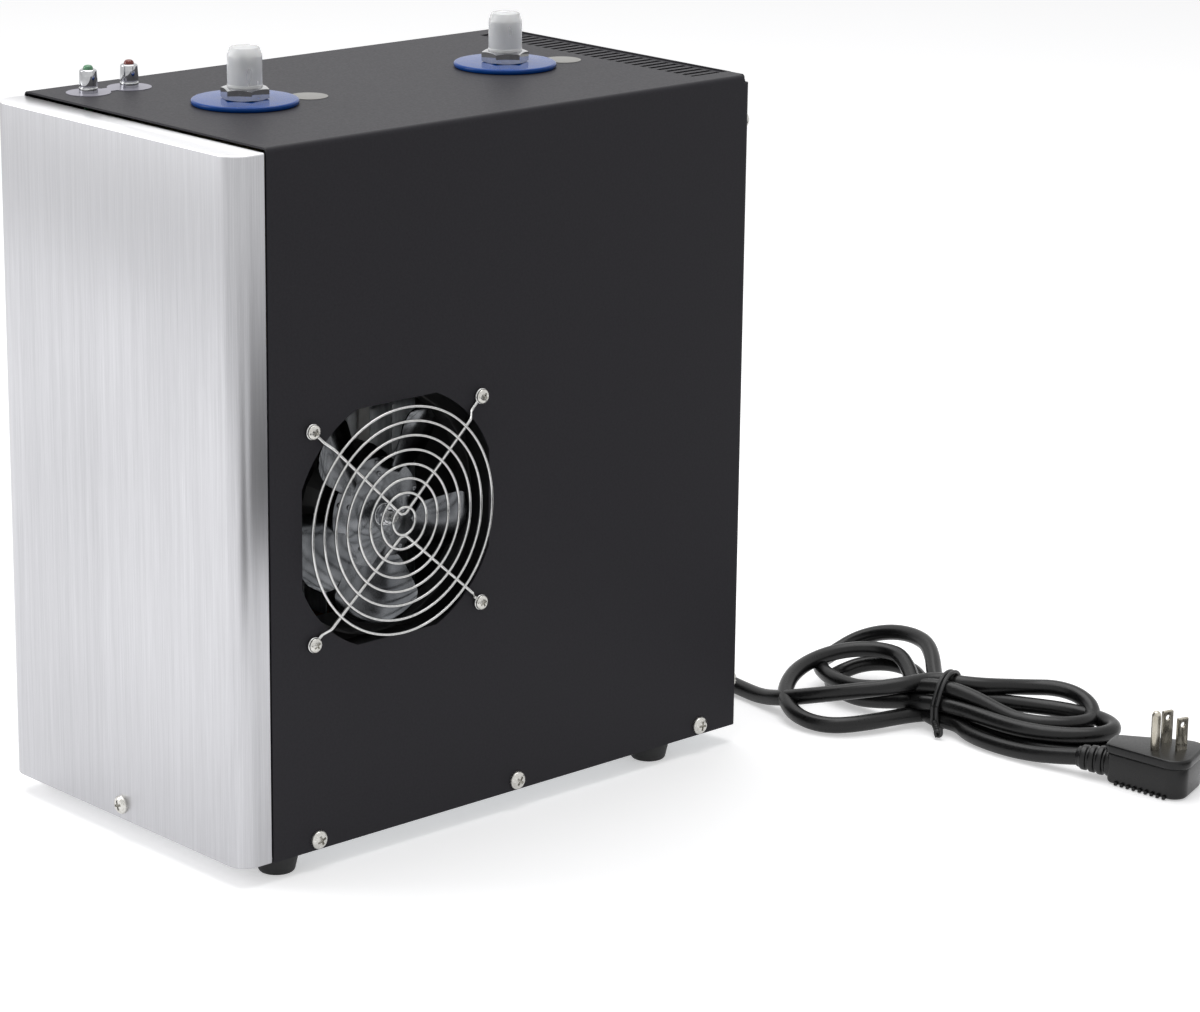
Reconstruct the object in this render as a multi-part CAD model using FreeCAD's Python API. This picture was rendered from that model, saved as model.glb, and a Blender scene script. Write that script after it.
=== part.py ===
import FreeCAD, Part
import math
import os

# A compact under-counter water chiller: a black sheet case with a stainless front, water ports and
# lamps on top, a fan behind a wire guard in the right side, and a tied power cord at the rear.
# Millimetres, +Z up, -Y towards the front. The origin is on the floor, under the middle of the case.

V = FreeCAD.Vector
UP = V(0, 0, 1)
FORWARD = V(0, 1, 0)
OUTWARD = V(1, 0, 0)

# Case
CASE_W = 190.0
CASE_D = 330.0
CASE_H = 347.0
SHEET = 1.0
BEND = 2.4

# Stainless front panel
FRONT_DEPTH = 19.0
FRONT_R = 10.0
FRONT_DROP = 2.0
LIP_W = 10.0
LIP_RELIEF = 8.5
JOINT = 0.5

# Cover, rear panel and pan
REAR_RIM = 12.0
RIM_RELIEF = 4.0
REAR_CORNER_GAP = 1.6
PAN_FLANGE = 12.0
TONGUE_W = 120.0
TONGUE_H = 16.0

# Feet
FOOT_H = 10.0
FOOT_TOP_R = 11.0
FOOT_BOTTOM_R = 9.0
FOOT_HOLE_R = 3.5
FOOT_HOLE_DEPTH = 6.0
FOOT_STUD_R = 3.0
FOOT_STUD_H = 1.0
FOOT_IN = 12.5
FOOT_FROM_FRONT = 31.0
FOOT_FROM_REAR = 51.0

# Vent slots
SLOT_W = 3.0
SLOT_L = 20.0
SLOT_PITCH = 6.2
TOP_SLOTS = 26
VENT_FROM_REAR = 15.0
VENT_BORDER = 2.4
VENT_STEP = 0.8
LEFT_SLOTS = 14
LEFT_SLOT_L = 70.0

# Screws
SCREW_HEAD_R = 4.8
SCREW_HEAD_H = 3.0
SCREW_CROWN_R = 3.0
SCREW_R = 1.9
SCREW_L = 7.0
SCREW_CLEAR = 0.2
SIDE_SCREW_Z = 5.3
SIDE_SCREW_FROM_FRONT = 47.0
SIDE_SCREW_PITCH = 128.0
FRONT_SCREW_Z = 8.0
REAR_SCREW_Z = 24.0

# Fan opening and guard
FAN_FROM_FRONT = 97.0
FAN_BELOW_TOP = 190.0
OPENING_R = 63.5
OPENING_HALF = 58.5
EYELET_PITCH = 104.8
GUARD_RINGS = 8
RING_FIRST_R = 6.9
RING_STEP = 7.03
RING_FEWEST_SIDES = 10
RING_MORE_SIDES = 2
RING_WIRE = 1.4
LEG_WIRE = 1.8
LEG_CLEAR = 0.1
LEG_BEND_ABOVE = 2.0
LEG_BEND_BELOW = 6.5
GUARD_STAND = 4.2
EYELET_R = 4.0
KINK_FROM_RING = 3.0
GUARD_SCREW_R = 1.6
GUARD_HEAD_R = 3.6
GUARD_HEAD_H = 1.6
GUARD_CROWN_R = 2.9
GUARD_SCREW_L = 8.0

# Fan, motor and shroud
BLADES = 5
BLADE_ROOT_R = 22.0
BLADE_TIP_R = 55.0
BLADE_TIP_ROUND = 9.0
BLADE_THICK = 0.9
BLADE_ROOT_HALF = 10.5
BLADE_HALF = 22.5
BLADE_PITCH = 26.0
BLADE_CAMBER = 3.5
BLADE_FIRST = 18.0
FAN_BEHIND_PANEL = 15.0
HUB_R = 27.0
HUB_FLAT_R = 11.0
HUB_DISH = 5.0
HUB_THICK = 1.2
SHAFT_R = 2.4
SHAFT_FRONT = 9.0
COLLAR_R = 4.8
SHAFT_END_PLAY = 0.5
RUN_CLEAR = 0.06
NUT_AF = 9.0
NUT_H = 4.0
MOTOR_R = 31.0
MOTOR_BOSS_R = 9.0
MOTOR_BOSS_H = 3.0
MOTOR_LEN = 30.0
MOTOR_EDGE = 5.0
BLADE_TO_MOTOR = 14.0
STRAP_W = 7.0
STRAP_SPREAD = 29.0
STRAP_THICK = 1.5
STRAP_FOOT = 9.0
SHROUD_HALF = 65.0
DUCT_R = 60.0
DUCT_LEN = 9.0
SHROUD_CLEAR = 0.4

# Condenser
CONDENSER_T = 38.0
FINS = 8
FIN_THICK = 0.6
FIN_SETBACK = 1.0
PIPE_R = 3.2
CONDENSER_ROWS = 2
END_PLATE = 1.2
END_PLATE_CLEAR = 1.0

# Compressor
COMPRESSOR_R = 50.0
COMPRESSOR_H = 138.0
COMPRESSOR_SEAM_H = 80.0
SEAM_FLANGE = 2.0
SEAM_THICK = 4.0
COMPRESSOR_SHOULDER = 26.0
COMPRESSOR_X = -12.0
MOUNT_H = 12.0
MOUNT_R = 7.0
MOUNT_SPREAD = 44.0
MOUNT_PLATE = 2.5
MOUNT_STUD = 2.0
TERMINAL_W = 34.0
TERMINAL_H = 40.0
TERMINAL_D = 24.0

# Deck, foam and tank
DECK_TOP_GAP = 98.0
DECK_LEG_W = 14.0
DECK_SIDE_GAP = 3.0
DECK_FOOT = 12.0
DECK_FROM_FRONT = 26.0
DECK_FROM_REAR = 36.0
FOAM_HALF_W = 75.0
FOAM_TOP_GAP = 13.0
FOAM_INSET = 3.0
TANK_R = 30.0
TANK_L = 226.0
TANK_WALL = 1.2
JACKET_T = 1.6
JACKET_L = 190.0
BOSS_R = 10.0
BOSS_H = 6.0

# Water ports
PORT_PITCH = 167.0
STUB_R = 6.6
STUB_BORE = 4.2
STUB_ABOVE_NUT = 15.0
SHOULDER_R = 10.5
SHOULDER_H = 4.0
DISC_R = 26.2
DISC_H = 2.6
DISC_EDGE = 1.1
HEX_AF = 21.0
HEX_H = 5.7
NUT_TURNS = (8.0, 26.0)
THREAD_CLEAR = 0.1
CAP_R = 8.5
CAP_H = 19.5
CAP_TIP_R = 7.1
CAP_TAPER_H = 4.2
CAP_CLEAR = 0.3
CAP_TOP = 1.6

# Lamps
LAMP_X = -71.0
LAMP_FROM_FRONT = 40.5
LAMP_PITCH = 24.5
HOLDER_R = 4.65
HOLDER_TOP_R = 4.2
HOLDER_H = 10.3
HOLDER_BORE = 2.4
HOLDER_GROOVE = 0.5
HOLDER_GROOVE_H = 2.8
LAMP_R = 2.6
LAMP_DOME = 3.0
LAMP_TAIL = 8.0
LAMP_NUT_AF = 7.2
LAMP_NUT_H = 2.5

# Thermostat, drier and pipes
THERMOSTAT_W = 40.0
THERMOSTAT_H = 36.0
THERMOSTAT_D = 22.0
THERMOSTAT_FROM_REAR = 56.0
SENSOR_R = 1.6
SENSOR_X = -20.0
SENSOR_OUT = 11.0
SENSOR_IN = 4.0
DRIER_R = 8.0
DRIER_L = 70.0
DRIER_CONE = 6.0
DRIER_FROM_SIDE = 30.0
DRIER_Z = 52.0
CAPILLARY_R = 1.2
EVAPORATOR_PIPE_X = 9.0
PIPE_BEND = 9.0
DISCHARGE_Z = 120.0
DISCHARGE_OUT = 24.0
SUCTION_Z = 90.0
SUCTION_OUT = 22.0
LIQUID_OUT = 11.0
LIQUID_DROP = 17.0
CAPILLARY_UNDER_DECK = 19.0
CAPILLARY_OUT = 14.0

# Cord, bush, hank and plug
CORD_R = 4.35
CORD_SIDES = 6
CORD_EXIT_X = -8.0
CORD_EXIT_Z = 21.0
BUSH_R = 8.0
BUSH_FLANGE_R = 10.0
BUSH_FLANGE_H = 2.0
BUSH_TIP = 2.0
BUSH_INSIDE = 6.0
LEAD_ROUTE = [
    (-8.0, 169.0, 21.0), (-8.0, 186.0, 19.5), (-1.2, 201.6, 15.5), (11.1, 213.3, 10.5),
    (26.9, 219.5, 6.4), (44.4, 219.8, 4.6), (62.2, 222.6, 4.6), (76.6, 231.6, 4.8), (88.3, 242.5, 5.4),
]
TAIL_ROUTE = [
    (162.0, 260.6, 5.6), (178.0, 257.4, 4.8), (195.0, 255.8, 4.6), (213.0, 257.2, 4.8),
    (231.0, 260.6, 6.4), (247.0, 265.4, 9.0),
]
HANK_SIDES = 16
HANK_BAND = 17.0
HANK_LEFT = (100.0, 263.0)
HANK_LEFT_A = 52.0
HANK_LEFT_B = 42.0
HANK_LEFT_H = 34.0
HANK_LEFT_TURN = 130.0
HANK_RIGHT = (198.0, 286.0)
HANK_RIGHT_A = 46.0
HANK_RIGHT_B = 26.0
HANK_RIGHT_H = 24.0
HANK_RIGHT_TURN = 17.0
WAIST = (152.0, 268.0)
WAIST_TURN = 17.0
WAIST_L = 34.0
WAIST_W = 28.0
WAIST_H = 25.0
TIE_THICK = 1.6
TIE_W = 4.0
PLUG_START = (247.0, 265.4)
PLUG_TURN = 20.0
PLUG_R = 17.0
PLUG_FLANGE = 1.5
PLUG_NECK = 8.0
PLUG_TO_PINS = 28.0
PLUG_H = 22.0
PLUG_STEP = 5.0
PLUG_AXIS_Z = 9.4
RELIEF_R = 7.6
RELIEF_L = 18.0
PIN_R = 2.4
PIN_L = 21.0
BLADE_PIN_L = 17.5
BLADE_PIN_W = 6.35
BLADE_PIN_T = 1.5
BLADE_PIN_PITCH = 12.7
EARTH_PIN_OFF = 11.9
PINS_TURN = -14.0

# Places that follow from the sizes above
RIGHT = CASE_W / 2
LEFT = -RIGHT
FRONT = -CASE_D / 2
REAR = CASE_D / 2
BOTTOM = FOOT_H
TOP = BOTTOM + CASE_H
COVER_FRONT = FRONT + FRONT_DEPTH + JOINT
INNER = RIGHT - SHEET
PAN_UNDER = BOTTOM + SHEET
PAN_TOP = PAN_UNDER + SHEET
REAR_PANEL_Y = REAR - 2 * SHEET
FAN_Y = FRONT + FAN_FROM_FRONT
FAN_Z = TOP - FAN_BELOW_TOP
BLADE_X = INNER - FAN_BEHIND_PANEL
MOTOR_X = BLADE_X - BLADE_TO_MOTOR
STRAP_X = MOTOR_X - MOTOR_LEN - STRAP_THICK
CONDENSER_X = STRAP_X - SHEET
CONDENSER_PIPE_X = CONDENSER_X - CONDENSER_T / 2
CONDENSER_REAR = FAN_Y + SHROUD_HALF
DECK_TOP = TOP - DECK_TOP_GAP
FOAM_TOP = TOP - FOAM_TOP_GAP
TANK_Z = (DECK_TOP + FOAM_TOP) / 2 - 2.0
BOSS_TOP = TANK_Z + TANK_R + BOSS_H
PORTS = [(0.0, -PORT_PITCH / 2), (0.0, PORT_PITCH / 2)]
LAMPS = [(LAMP_X, FRONT + LAMP_FROM_FRONT + i * LAMP_PITCH) for i in range(2)]
SIDE_SCREWS = [FRONT + SIDE_SCREW_FROM_FRONT + i * SIDE_SCREW_PITCH for i in range(3)]
COMPRESSOR_BASE = PAN_TOP + MOUNT_H
DRIER_AT = (-INNER + DRIER_FROM_SIDE, CONDENSER_REAR + LIQUID_OUT, DRIER_Z)
COMPRESSOR_Y = (DRIER_AT[1] + PIPE_R + REAR_PANEL_Y) / 2
FOAM_FRONT = FRONT + DECK_FROM_FRONT + FOAM_INSET
FOAM_REAR = REAR - DECK_FROM_REAR - FOAM_INSET
EVAPORATOR_PIPE_Z = TANK_Z - TANK_R - JACKET_T


def block(x0, x1, y0, y1, z0, z1):
    """A box between two places on each axis, given in either order."""
    low = V(min(x0, x1), min(y0, y1), min(z0, z1))
    return Part.makeBox(abs(x1 - x0), abs(y1 - y0), abs(z1 - z0), low)


def rod(radius, length, base, axis=UP):
    return Part.makeCylinder(radius, length, V(*base), axis)


def placed(shape, at, axis=UP):
    """Turns a shape made along +Z so that it points along the axis, and moves it."""
    shape.Placement = FreeCAD.Placement(V(*at), FreeCAD.Rotation(UP, axis))
    return shape


def fused(shapes):
    whole = shapes[0]
    if len(shapes) > 1:
        whole = whole.multiFuse(shapes[1:])
    return whole.removeSplitter()


def flat_face(corners):
    return Part.Face(Part.makePolygon(corners + corners[:1]))


def closed_solid(faces):
    solid = Part.Solid(Part.makeShell(faces))
    if solid.Volume < 0:
        solid.reverse()
    return solid


def prism(points, z0, z1):
    return flat_face([V(x, y, z0) for x, y in points]).extrude(V(0, 0, z1 - z0))


def polygon(sides, radius, start=0.0):
    step = 2 * math.pi / sides
    return [(radius * math.cos(start + i * step), radius * math.sin(start + i * step)) for i in range(sides)]


def turned(sides, profile, at, axis=UP):
    """Carries a closed outline of (radius, height) corners round an axis in a number of flat sides."""
    spokes = polygon(sides, 1, math.pi / sides)
    faces = []
    for (r0, h0), (r1, h1) in zip(profile, profile[1:] + profile[:1]):
        for (xa, ya), (xb, yb) in zip(spokes, spokes[1:] + spokes[:1]):
            corners = []
            if r0 > 0:
                corners += [V(xb * r0, yb * r0, h0), V(xa * r0, ya * r0, h0)]
            else:
                corners.append(V(0, 0, h0))
            if r1 > 0:
                corners += [V(xa * r1, ya * r1, h1), V(xb * r1, yb * r1, h1)]
            else:
                corners.append(V(0, 0, h1))
            if len(corners) > 2:
                faces.append(flat_face(corners))
    return placed(closed_solid(faces).removeSplitter(), at, axis)


def peg(sides, radius, low, high, at, axis=UP, top=None):
    """A pin, bore or button with flat sides; with a top radius it tapers."""
    top = radius if top is None else top
    return turned(sides, [(0, low), (radius, low), (top, high), (0, high)], at, axis)


def bore_radius(radius, sides):
    """The corner radius of a bore with flat sides that clears a radius all round."""
    return radius / math.cos(math.pi / sides)


def hexagon(flats, height, at, axis=UP, start=0.0):
    return placed(prism(polygon(6, flats / math.sqrt(3), math.radians(start)), 0, height), at, axis)


def edges_along(shape, direction, wanted):
    """The straight edges that run in a direction and whose middle is wanted."""
    found = []
    for edge in shape.Edges:
        run = edge.lastVertex().Point - edge.firstVertex().Point
        if run.Length > 1e-6 and abs(run.normalize().dot(direction)) > 0.999:
            if wanted(edge.CenterOfMass):
                found.append(edge)
    return found


def ring_round(centre, way, radius, sides):
    """The corners of a section that stands across a direction."""
    side = way.cross(UP)
    if side.Length < 1e-6:
        side = way.cross(OUTWARD)
    side.normalize()
    over = side.cross(way).normalize()
    return [centre + side * x + over * y for x, y in polygon(sides, radius, math.pi / sides)]


def mitred(points, radius, sides):
    """A wire or pipe with flat sides that follows straight runs and is mitred where they meet."""
    corners = [V(*p) for p in points]
    ways = [(b - a).normalize() for a, b in zip(corners, corners[1:])]
    ring = ring_round(corners[0], ways[0], radius, sides)
    faces = [flat_face(ring)]
    for i, way in enumerate(ways):
        ahead = ways[min(i + 1, len(ways) - 1)]
        across = (way + ahead).normalize()
        end = corners[i + 1]
        after = [p + way * ((end - p).dot(across) / way.dot(across)) for p in ring]
        for a, b, c, d in zip(ring, ring[1:] + ring[:1], after[1:] + after[:1], after):
            faces.append(flat_face([a, b, c, d]))
        ring = after
    faces.append(flat_face(ring))
    return closed_solid(faces)


def rounded_corners(points, cut):
    """A route whose inner corners are each replaced by two gentler ones."""
    corners = [V(*p) for p in points]
    route = [corners[0]]
    for before, corner, after in zip(corners, corners[1:], corners[2:]):
        route.append(corner + (before - corner).normalize() * cut)
        route.append(corner + (after - corner).normalize() * cut)
    return route + corners[-1:]


def pipe(points, radius=PIPE_R, sides=8):
    return mitred(rounded_corners(points, PIPE_BEND), radius, sides)


def cord_path(points, share=0.45):
    """Straight runs joined by tangent arcs, and the radius of each arc."""
    corners = [V(*p) for p in points]
    edges = []
    radii = []
    start = corners[0]
    for before, corner, after in zip(corners, corners[1:], corners[2:]):
        back = (before - corner).normalize()
        ahead = (after - corner).normalize()
        half = (math.pi - back.getAngle(ahead)) / 2
        reach = share * min((before - corner).Length, (after - corner).Length)
        size = reach / math.tan(half)
        first = corner + back * reach
        last = corner + ahead * reach
        centre_way = (back + ahead).normalize()
        middle = corner + centre_way * (size / math.cos(half) - size)
        edges.append(Part.LineSegment(start, first).toShape())
        edges.append(Part.Arc(first, middle, last).toShape())
        radii.append(size)
        start = last
    edges.append(Part.LineSegment(start, corners[-1]).toShape())
    return Part.Wire(edges), radii


def cord_tube(name, points):
    """The plain tube of one stretch of cord; its radii and volume are printed."""
    wire, radii = cord_path(points)
    first = wire.Edges[0]
    start = first.valueAt(first.FirstParameter)
    way = first.tangentAt(first.FirstParameter)
    corners = ring_round(start, way, CORD_R, CORD_SIDES)
    section = Part.makePolygon(corners + corners[:1])
    solid = wire.makePipeShell([section], True, False)
    expected = Part.Face(section).Area * wire.Length
    print(name, "radii", [round(r) for r in radii], "length", round(wire.Length, 1))
    print(name, "volume", round(solid.Volume), "section times length", round(expected))
    return solid


def screw_head(at, axis):
    """A pan head and its plain shank; the axis points from the seat out through the head."""
    head = peg(8, SCREW_HEAD_R, 0, SCREW_HEAD_H, at, axis, SCREW_CROWN_R)
    return fused([head, peg(6, SCREW_R, -SCREW_L, 0, at, axis)])


def screw_places():
    """Where each case screw sits, and which way its head points."""
    places = [((0, FRONT, BOTTOM + FRONT_SCREW_Z), V(0, -1, 0))]
    for side in (-1, 1):
        places += [((side * RIGHT, y, BOTTOM + SIDE_SCREW_Z), V(side, 0, 0)) for y in SIDE_SCREWS]
        for z in (BOTTOM + REAR_SCREW_Z, TOP - REAR_SCREW_Z):
            places.append(((side * (RIGHT - REAR_RIM / 2), REAR, z), V(0, 1, 0)))
    return places


def screw_holes():
    radius = bore_radius(SCREW_R, 6) + SCREW_CLEAR
    return Part.makeCompound([
        peg(6, radius, -SCREW_L - SCREW_CLEAR, SCREW_CLEAR, at, way) for at, way in screw_places()
    ])


def front_panel():
    """A folded tray with rounded upright edges, and return lips that stop short at the corners."""
    back = FRONT + FRONT_DEPTH
    height = CASE_H - FRONT_DROP
    shell = block(LEFT, RIGHT, FRONT, back, BOTTOM, BOTTOM + height)
    shell = shell.makeFillet(FRONT_R, edges_along(shell, UP, lambda p: p.y < FRONT + SHEET))
    hollow = block(LEFT + SHEET, INNER, FRONT + SHEET, back + SHEET, BOTTOM + SHEET, BOTTOM + height - SHEET)
    hollow = hollow.makeFillet(FRONT_R - SHEET, edges_along(hollow, UP, lambda p: p.y < FRONT + 2 * SHEET))
    shell = shell.cut(hollow)
    low = BOTTOM + LIP_RELIEF
    high = BOTTOM + height - LIP_RELIEF
    for side in (-1, 1):
        wall = side * INNER
        shell = shell.fuse(block(wall, wall - side * LIP_W, back - SHEET, back, low, high))
    return shell.cut(screw_holes()).removeSplitter()


def slot_row(count, pitch, width, make):
    middle = (count - 1) / 2
    return Part.makeCompound([make((i - middle) * pitch, width / 2) for i in range(count)])


def fan_opening():
    """The round cut-out with four flats."""
    x0 = INNER - SHEET
    disc = rod(OPENING_R, 3 * SHEET, (x0, FAN_Y, FAN_Z), OUTWARD)
    half = OPENING_HALF
    return disc.common(block(x0, RIGHT + SHEET, FAN_Y - half, FAN_Y + half, FAN_Z - half, FAN_Z + half))


def cover():
    """The black sheet: both sides and the top, with a rim turned in at the rear."""
    shell = block(LEFT, RIGHT, COVER_FRONT, REAR, BOTTOM, TOP)
    bends = edges_along(shell, FORWARD, lambda p: p.z > TOP - SHEET)
    bends += edges_along(shell, UP, lambda p: p.y > REAR - SHEET)
    bends += edges_along(shell, OUTWARD, lambda p: p.y > REAR - SHEET and p.z > TOP - SHEET)
    shell = shell.makeFillet(BEND, bends)
    hollow = block(-INNER, INNER, COVER_FRONT - SHEET, REAR - SHEET, BOTTOM - SHEET, TOP - SHEET)
    shell = shell.cut(hollow)
    rim = RIGHT - REAR_RIM
    shell = shell.cut(block(-rim, rim, REAR - 2 * SHEET, REAR + SHEET, BOTTOM - SHEET, TOP - REAR_RIM))
    for side in (-1, 1):
        inner = side * (RIGHT - RIM_RELIEF)
        shell = shell.cut(block(side * RIGHT, inner, REAR - RIM_RELIEF, REAR, TOP - RIM_RELIEF, TOP))
    shell = shell.cut(vent_recess(0)).fuse(vent_recess(SHEET).cut(vent_recess(0)))
    shell = shell.cut(top_slots()).cut(left_slots())
    for x, y in PORTS:
        shell = shell.cut(peg(12, STUB_R + THREAD_CLEAR, -2 * SHEET, SHEET, (x, y, TOP)))
    for x, y in LAMPS:
        shell = shell.cut(peg(10, HOLDER_BORE, -2 * SHEET, SHEET, (x, y, TOP)))
    return shell.cut(fan_opening()).cut(guard_holes()).cut(screw_holes()).removeSplitter()


def vent_recess(below):
    """The shallow step round the top slots, or with a sheet's thickness more below and around it."""
    half = ((TOP_SLOTS - 1) * SLOT_PITCH + SLOT_W) / 2 + VENT_BORDER + below
    middle = REAR - VENT_FROM_REAR
    reach = SLOT_L / 2 + VENT_BORDER + below
    rear = min(middle + reach, REAR - SHEET)
    return block(-half, half, middle - reach, rear, TOP - VENT_STEP - below, TOP)


def top_slots():
    start = REAR - VENT_FROM_REAR - SLOT_L / 2

    def slot(x, half):
        return block(x - half, x + half, start, start + SLOT_L, TOP - 3 * SHEET, TOP + SHEET)

    return slot_row(TOP_SLOTS, SLOT_PITCH, SLOT_W, slot)


def left_slots():
    low = FAN_Z - LEFT_SLOT_L / 2

    def slot(y, half):
        middle = FAN_Y + y
        return block(LEFT - SHEET, LEFT + 2 * SHEET, middle - half, middle + half, low, low + LEFT_SLOT_L)

    return slot_row(LEFT_SLOTS, SLOT_PITCH, SLOT_W, slot)


def cord_hole():
    return peg(12, BUSH_R, -3 * SHEET, 2 * SHEET, (CORD_EXIT_X, REAR_PANEL_Y, CORD_EXIT_Z), FORWARD)


def rear_panel():
    half = INNER - REAR_CORNER_GAP
    top = TOP - SHEET - VENT_STEP - SHEET
    panel = block(-half, half, REAR_PANEL_Y, REAR_PANEL_Y + SHEET, PAN_UNDER, top)
    return panel.cut(cord_hole()).cut(screw_holes())


def base_pan():
    """A tray with a tongue that reaches under the front panel and turns up behind it."""
    side_front = COVER_FRONT + SHEET
    wall_top = PAN_TOP + PAN_FLANGE
    floor = block(-INNER, INNER, side_front, REAR_PANEL_Y, PAN_UNDER, PAN_TOP)
    half = TONGUE_W / 2
    tongue = block(-half, half, FRONT + SHEET, side_front, PAN_UNDER, PAN_TOP)
    front_flange = block(-half, half, FRONT + SHEET, FRONT + 2 * SHEET, PAN_UNDER, PAN_TOP + TONGUE_H)
    rear_wall = block(-INNER, INNER, REAR_PANEL_Y - SHEET, REAR_PANEL_Y, PAN_UNDER, wall_top)
    side_walls = [
        block(side * INNER, side * (INNER - SHEET), side_front, REAR_PANEL_Y, PAN_UNDER, wall_top)
        for side in (-1, 1)
    ]
    pan = fused([floor, tongue, front_flange, rear_wall] + side_walls).cut(screw_holes()).cut(cord_hole())
    for x, y in foot_places():
        pan = pan.cut(peg(8, FOOT_STUD_R, -SHEET, 2 * SHEET, (x, y, PAN_UNDER)))
    return pan


def foot_places():
    x = RIGHT - FOOT_IN
    return [(side * x, y) for side in (-1, 1) for y in (FRONT + FOOT_FROM_FRONT, REAR - FOOT_FROM_REAR)]


def foot(x, y):
    """A tapered rubber foot with a hollow for its screw, and the stud that passes through the pan."""
    body = peg(12, FOOT_BOTTOM_R, 0, PAN_UNDER, (x, y, 0), UP, FOOT_TOP_R)
    stud = peg(8, FOOT_STUD_R, PAN_UNDER, PAN_UNDER + FOOT_STUD_H, (x, y, 0))
    return fused([body, stud]).cut(peg(8, FOOT_HOLE_R, -SHEET, FOOT_HOLE_DEPTH, (x, y, 0)))


def feet():
    return Part.makeCompound([foot(x, y) for x, y in foot_places()])


def case_screws():
    return Part.makeCompound([screw_head(at, way) for at, way in screw_places()])


def eyelets():
    half = EYELET_PITCH / 2
    return [(FAN_Y + sy * half, FAN_Z + sz * half) for sy in (-1, 1) for sz in (-1, 1)]


def guard_holes():
    radius = bore_radius(GUARD_SCREW_R, 6) + SCREW_CLEAR
    return Part.makeCompound([
        peg(6, radius, -LEG_WIRE, 2 * LEG_WIRE, (RIGHT, y, z), OUTWARD) for y, z in eyelets()
    ])


def guard_ring(index):
    """One ring of the guard; larger rings have more sides, and the wire's section is a square on a corner."""
    half = RING_WIRE / math.sqrt(2)
    radius = RING_FIRST_R + index * RING_STEP
    sides = RING_FEWEST_SIDES + index * RING_MORE_SIDES
    corners = [(radius - half, 0), (radius, -half), (radius + half, 0), (radius, half)]
    return turned(sides, corners, (RIGHT + GUARD_STAND + RING_WIRE / 2, FAN_Y, FAN_Z), OUTWARD)


def guard_leg(up, bend):
    """A bent wire from one eyelet over the rings to its bend near the middle, and on to the next eyelet."""
    half = EYELET_PITCH / 2
    outer = RING_FIRST_R + (GUARD_RINGS - 1) * RING_STEP
    x_ring = RIGHT + GUARD_STAND
    x_seat = RIGHT + LEG_WIRE / 2
    length = math.hypot(half, half - bend)

    def at(x, side, reach):
        share = reach / length
        return V(x, FAN_Y + side * share * half, FAN_Z + up * (bend + share * (half - bend)))

    kink = outer + KINK_FROM_RING
    side_route = [(x_seat, length), (x_seat, kink + GUARD_STAND), (x_ring, kink), (x_ring, LEG_WIRE)]
    route = [at(x, -1, reach) for x, reach in side_route]
    route += [at(x, 1, reach) for x, reach in reversed(side_route)]
    return mitred(route, LEG_WIRE / 2, 4)


def whole_guard():
    shapes = [guard_ring(i) for i in range(GUARD_RINGS)]
    shapes += [guard_leg(1, LEG_BEND_ABOVE), guard_leg(-1, LEG_BEND_BELOW)]
    shapes += [peg(10, EYELET_R, 0, LEG_WIRE, (RIGHT, y, z), OUTWARD) for y, z in eyelets()]
    return fused(shapes).cut(guard_holes())


def beside_the_rings():
    """The room between the sheet and the wires of the rings."""
    reach = EYELET_PITCH
    x = RIGHT + GUARD_STAND - LEG_WIRE / 2 - LEG_CLEAR
    return block(LEFT, x, FAN_Y - reach, FAN_Y + reach, FAN_Z - reach, FAN_Z + reach)


def fan_guard():
    """The rings and the straight part of the legs, all clear of the cut-out."""
    return whole_guard().cut(beside_the_rings())


def guard_feet():
    """The four bent ends of the legs with their eyelets."""
    return whole_guard().common(beside_the_rings())


def guard_screws():
    seat = RIGHT + LEG_WIRE
    screws = []
    for y, z in eyelets():
        head = peg(8, GUARD_HEAD_R, 0, GUARD_HEAD_H, (seat, y, z), OUTWARD, GUARD_CROWN_R)
        screws.append(fused([head, peg(6, GUARD_SCREW_R, -GUARD_SCREW_L, 0, (seat, y, z), OUTWARD)]))
    return Part.makeCompound(screws)


def blade():
    """A cambered plate, pitched about its length and cut to a paddle; along +X, with the shaft along +Z."""
    under = []
    for share in (-1, -0.4, 0.4, 1):
        under.append(V(BLADE_ROOT_R, share * 2 * BLADE_HALF, BLADE_CAMBER * (1 - share ** 2)))
    over = [p + UP * BLADE_THICK for p in reversed(under)]
    plate = flat_face(under + over).extrude(V(BLADE_TIP_R, 0, 0))
    plate.rotate(V(0, 0, 0), OUTWARD, BLADE_PITCH)
    half = BLADE_HALF * math.cos(math.radians(BLADE_PITCH))
    corner = BLADE_TIP_R - BLADE_TIP_ROUND
    right_side = [(BLADE_ROOT_R, BLADE_ROOT_HALF), (corner - BLADE_TIP_ROUND, half)]
    for turn in (90, 50, 10):
        angle = math.radians(turn)
        x = corner + BLADE_TIP_ROUND * math.cos(angle)
        right_side.append((x, half - BLADE_TIP_ROUND * (1 - math.sin(angle))))
    outline = right_side + [(x, -y) for x, y in reversed(right_side)]
    return plate.common(prism(outline, -BLADE_TIP_R, BLADE_TIP_R))


def fan_blades():
    """Five pressed blades on a dished hub, all of one sheet."""
    bore = SHAFT_R + RUN_CLEAR
    hub = turned(20, [
        (bore, HUB_DISH), (HUB_FLAT_R, HUB_DISH), (HUB_R, 0),
        (HUB_R, -HUB_THICK), (HUB_FLAT_R, HUB_DISH - HUB_THICK), (bore, HUB_DISH - HUB_THICK),
    ], (0, 0, 0))
    blades = []
    for i in range(BLADES):
        one = blade()
        one.rotate(V(0, 0, 0), UP, i * 360 / BLADES + BLADE_FIRST)
        blades.append(one)
    return placed(fused([hub] + blades), (BLADE_X, FAN_Y, FAN_Z), OUTWARD)


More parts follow.
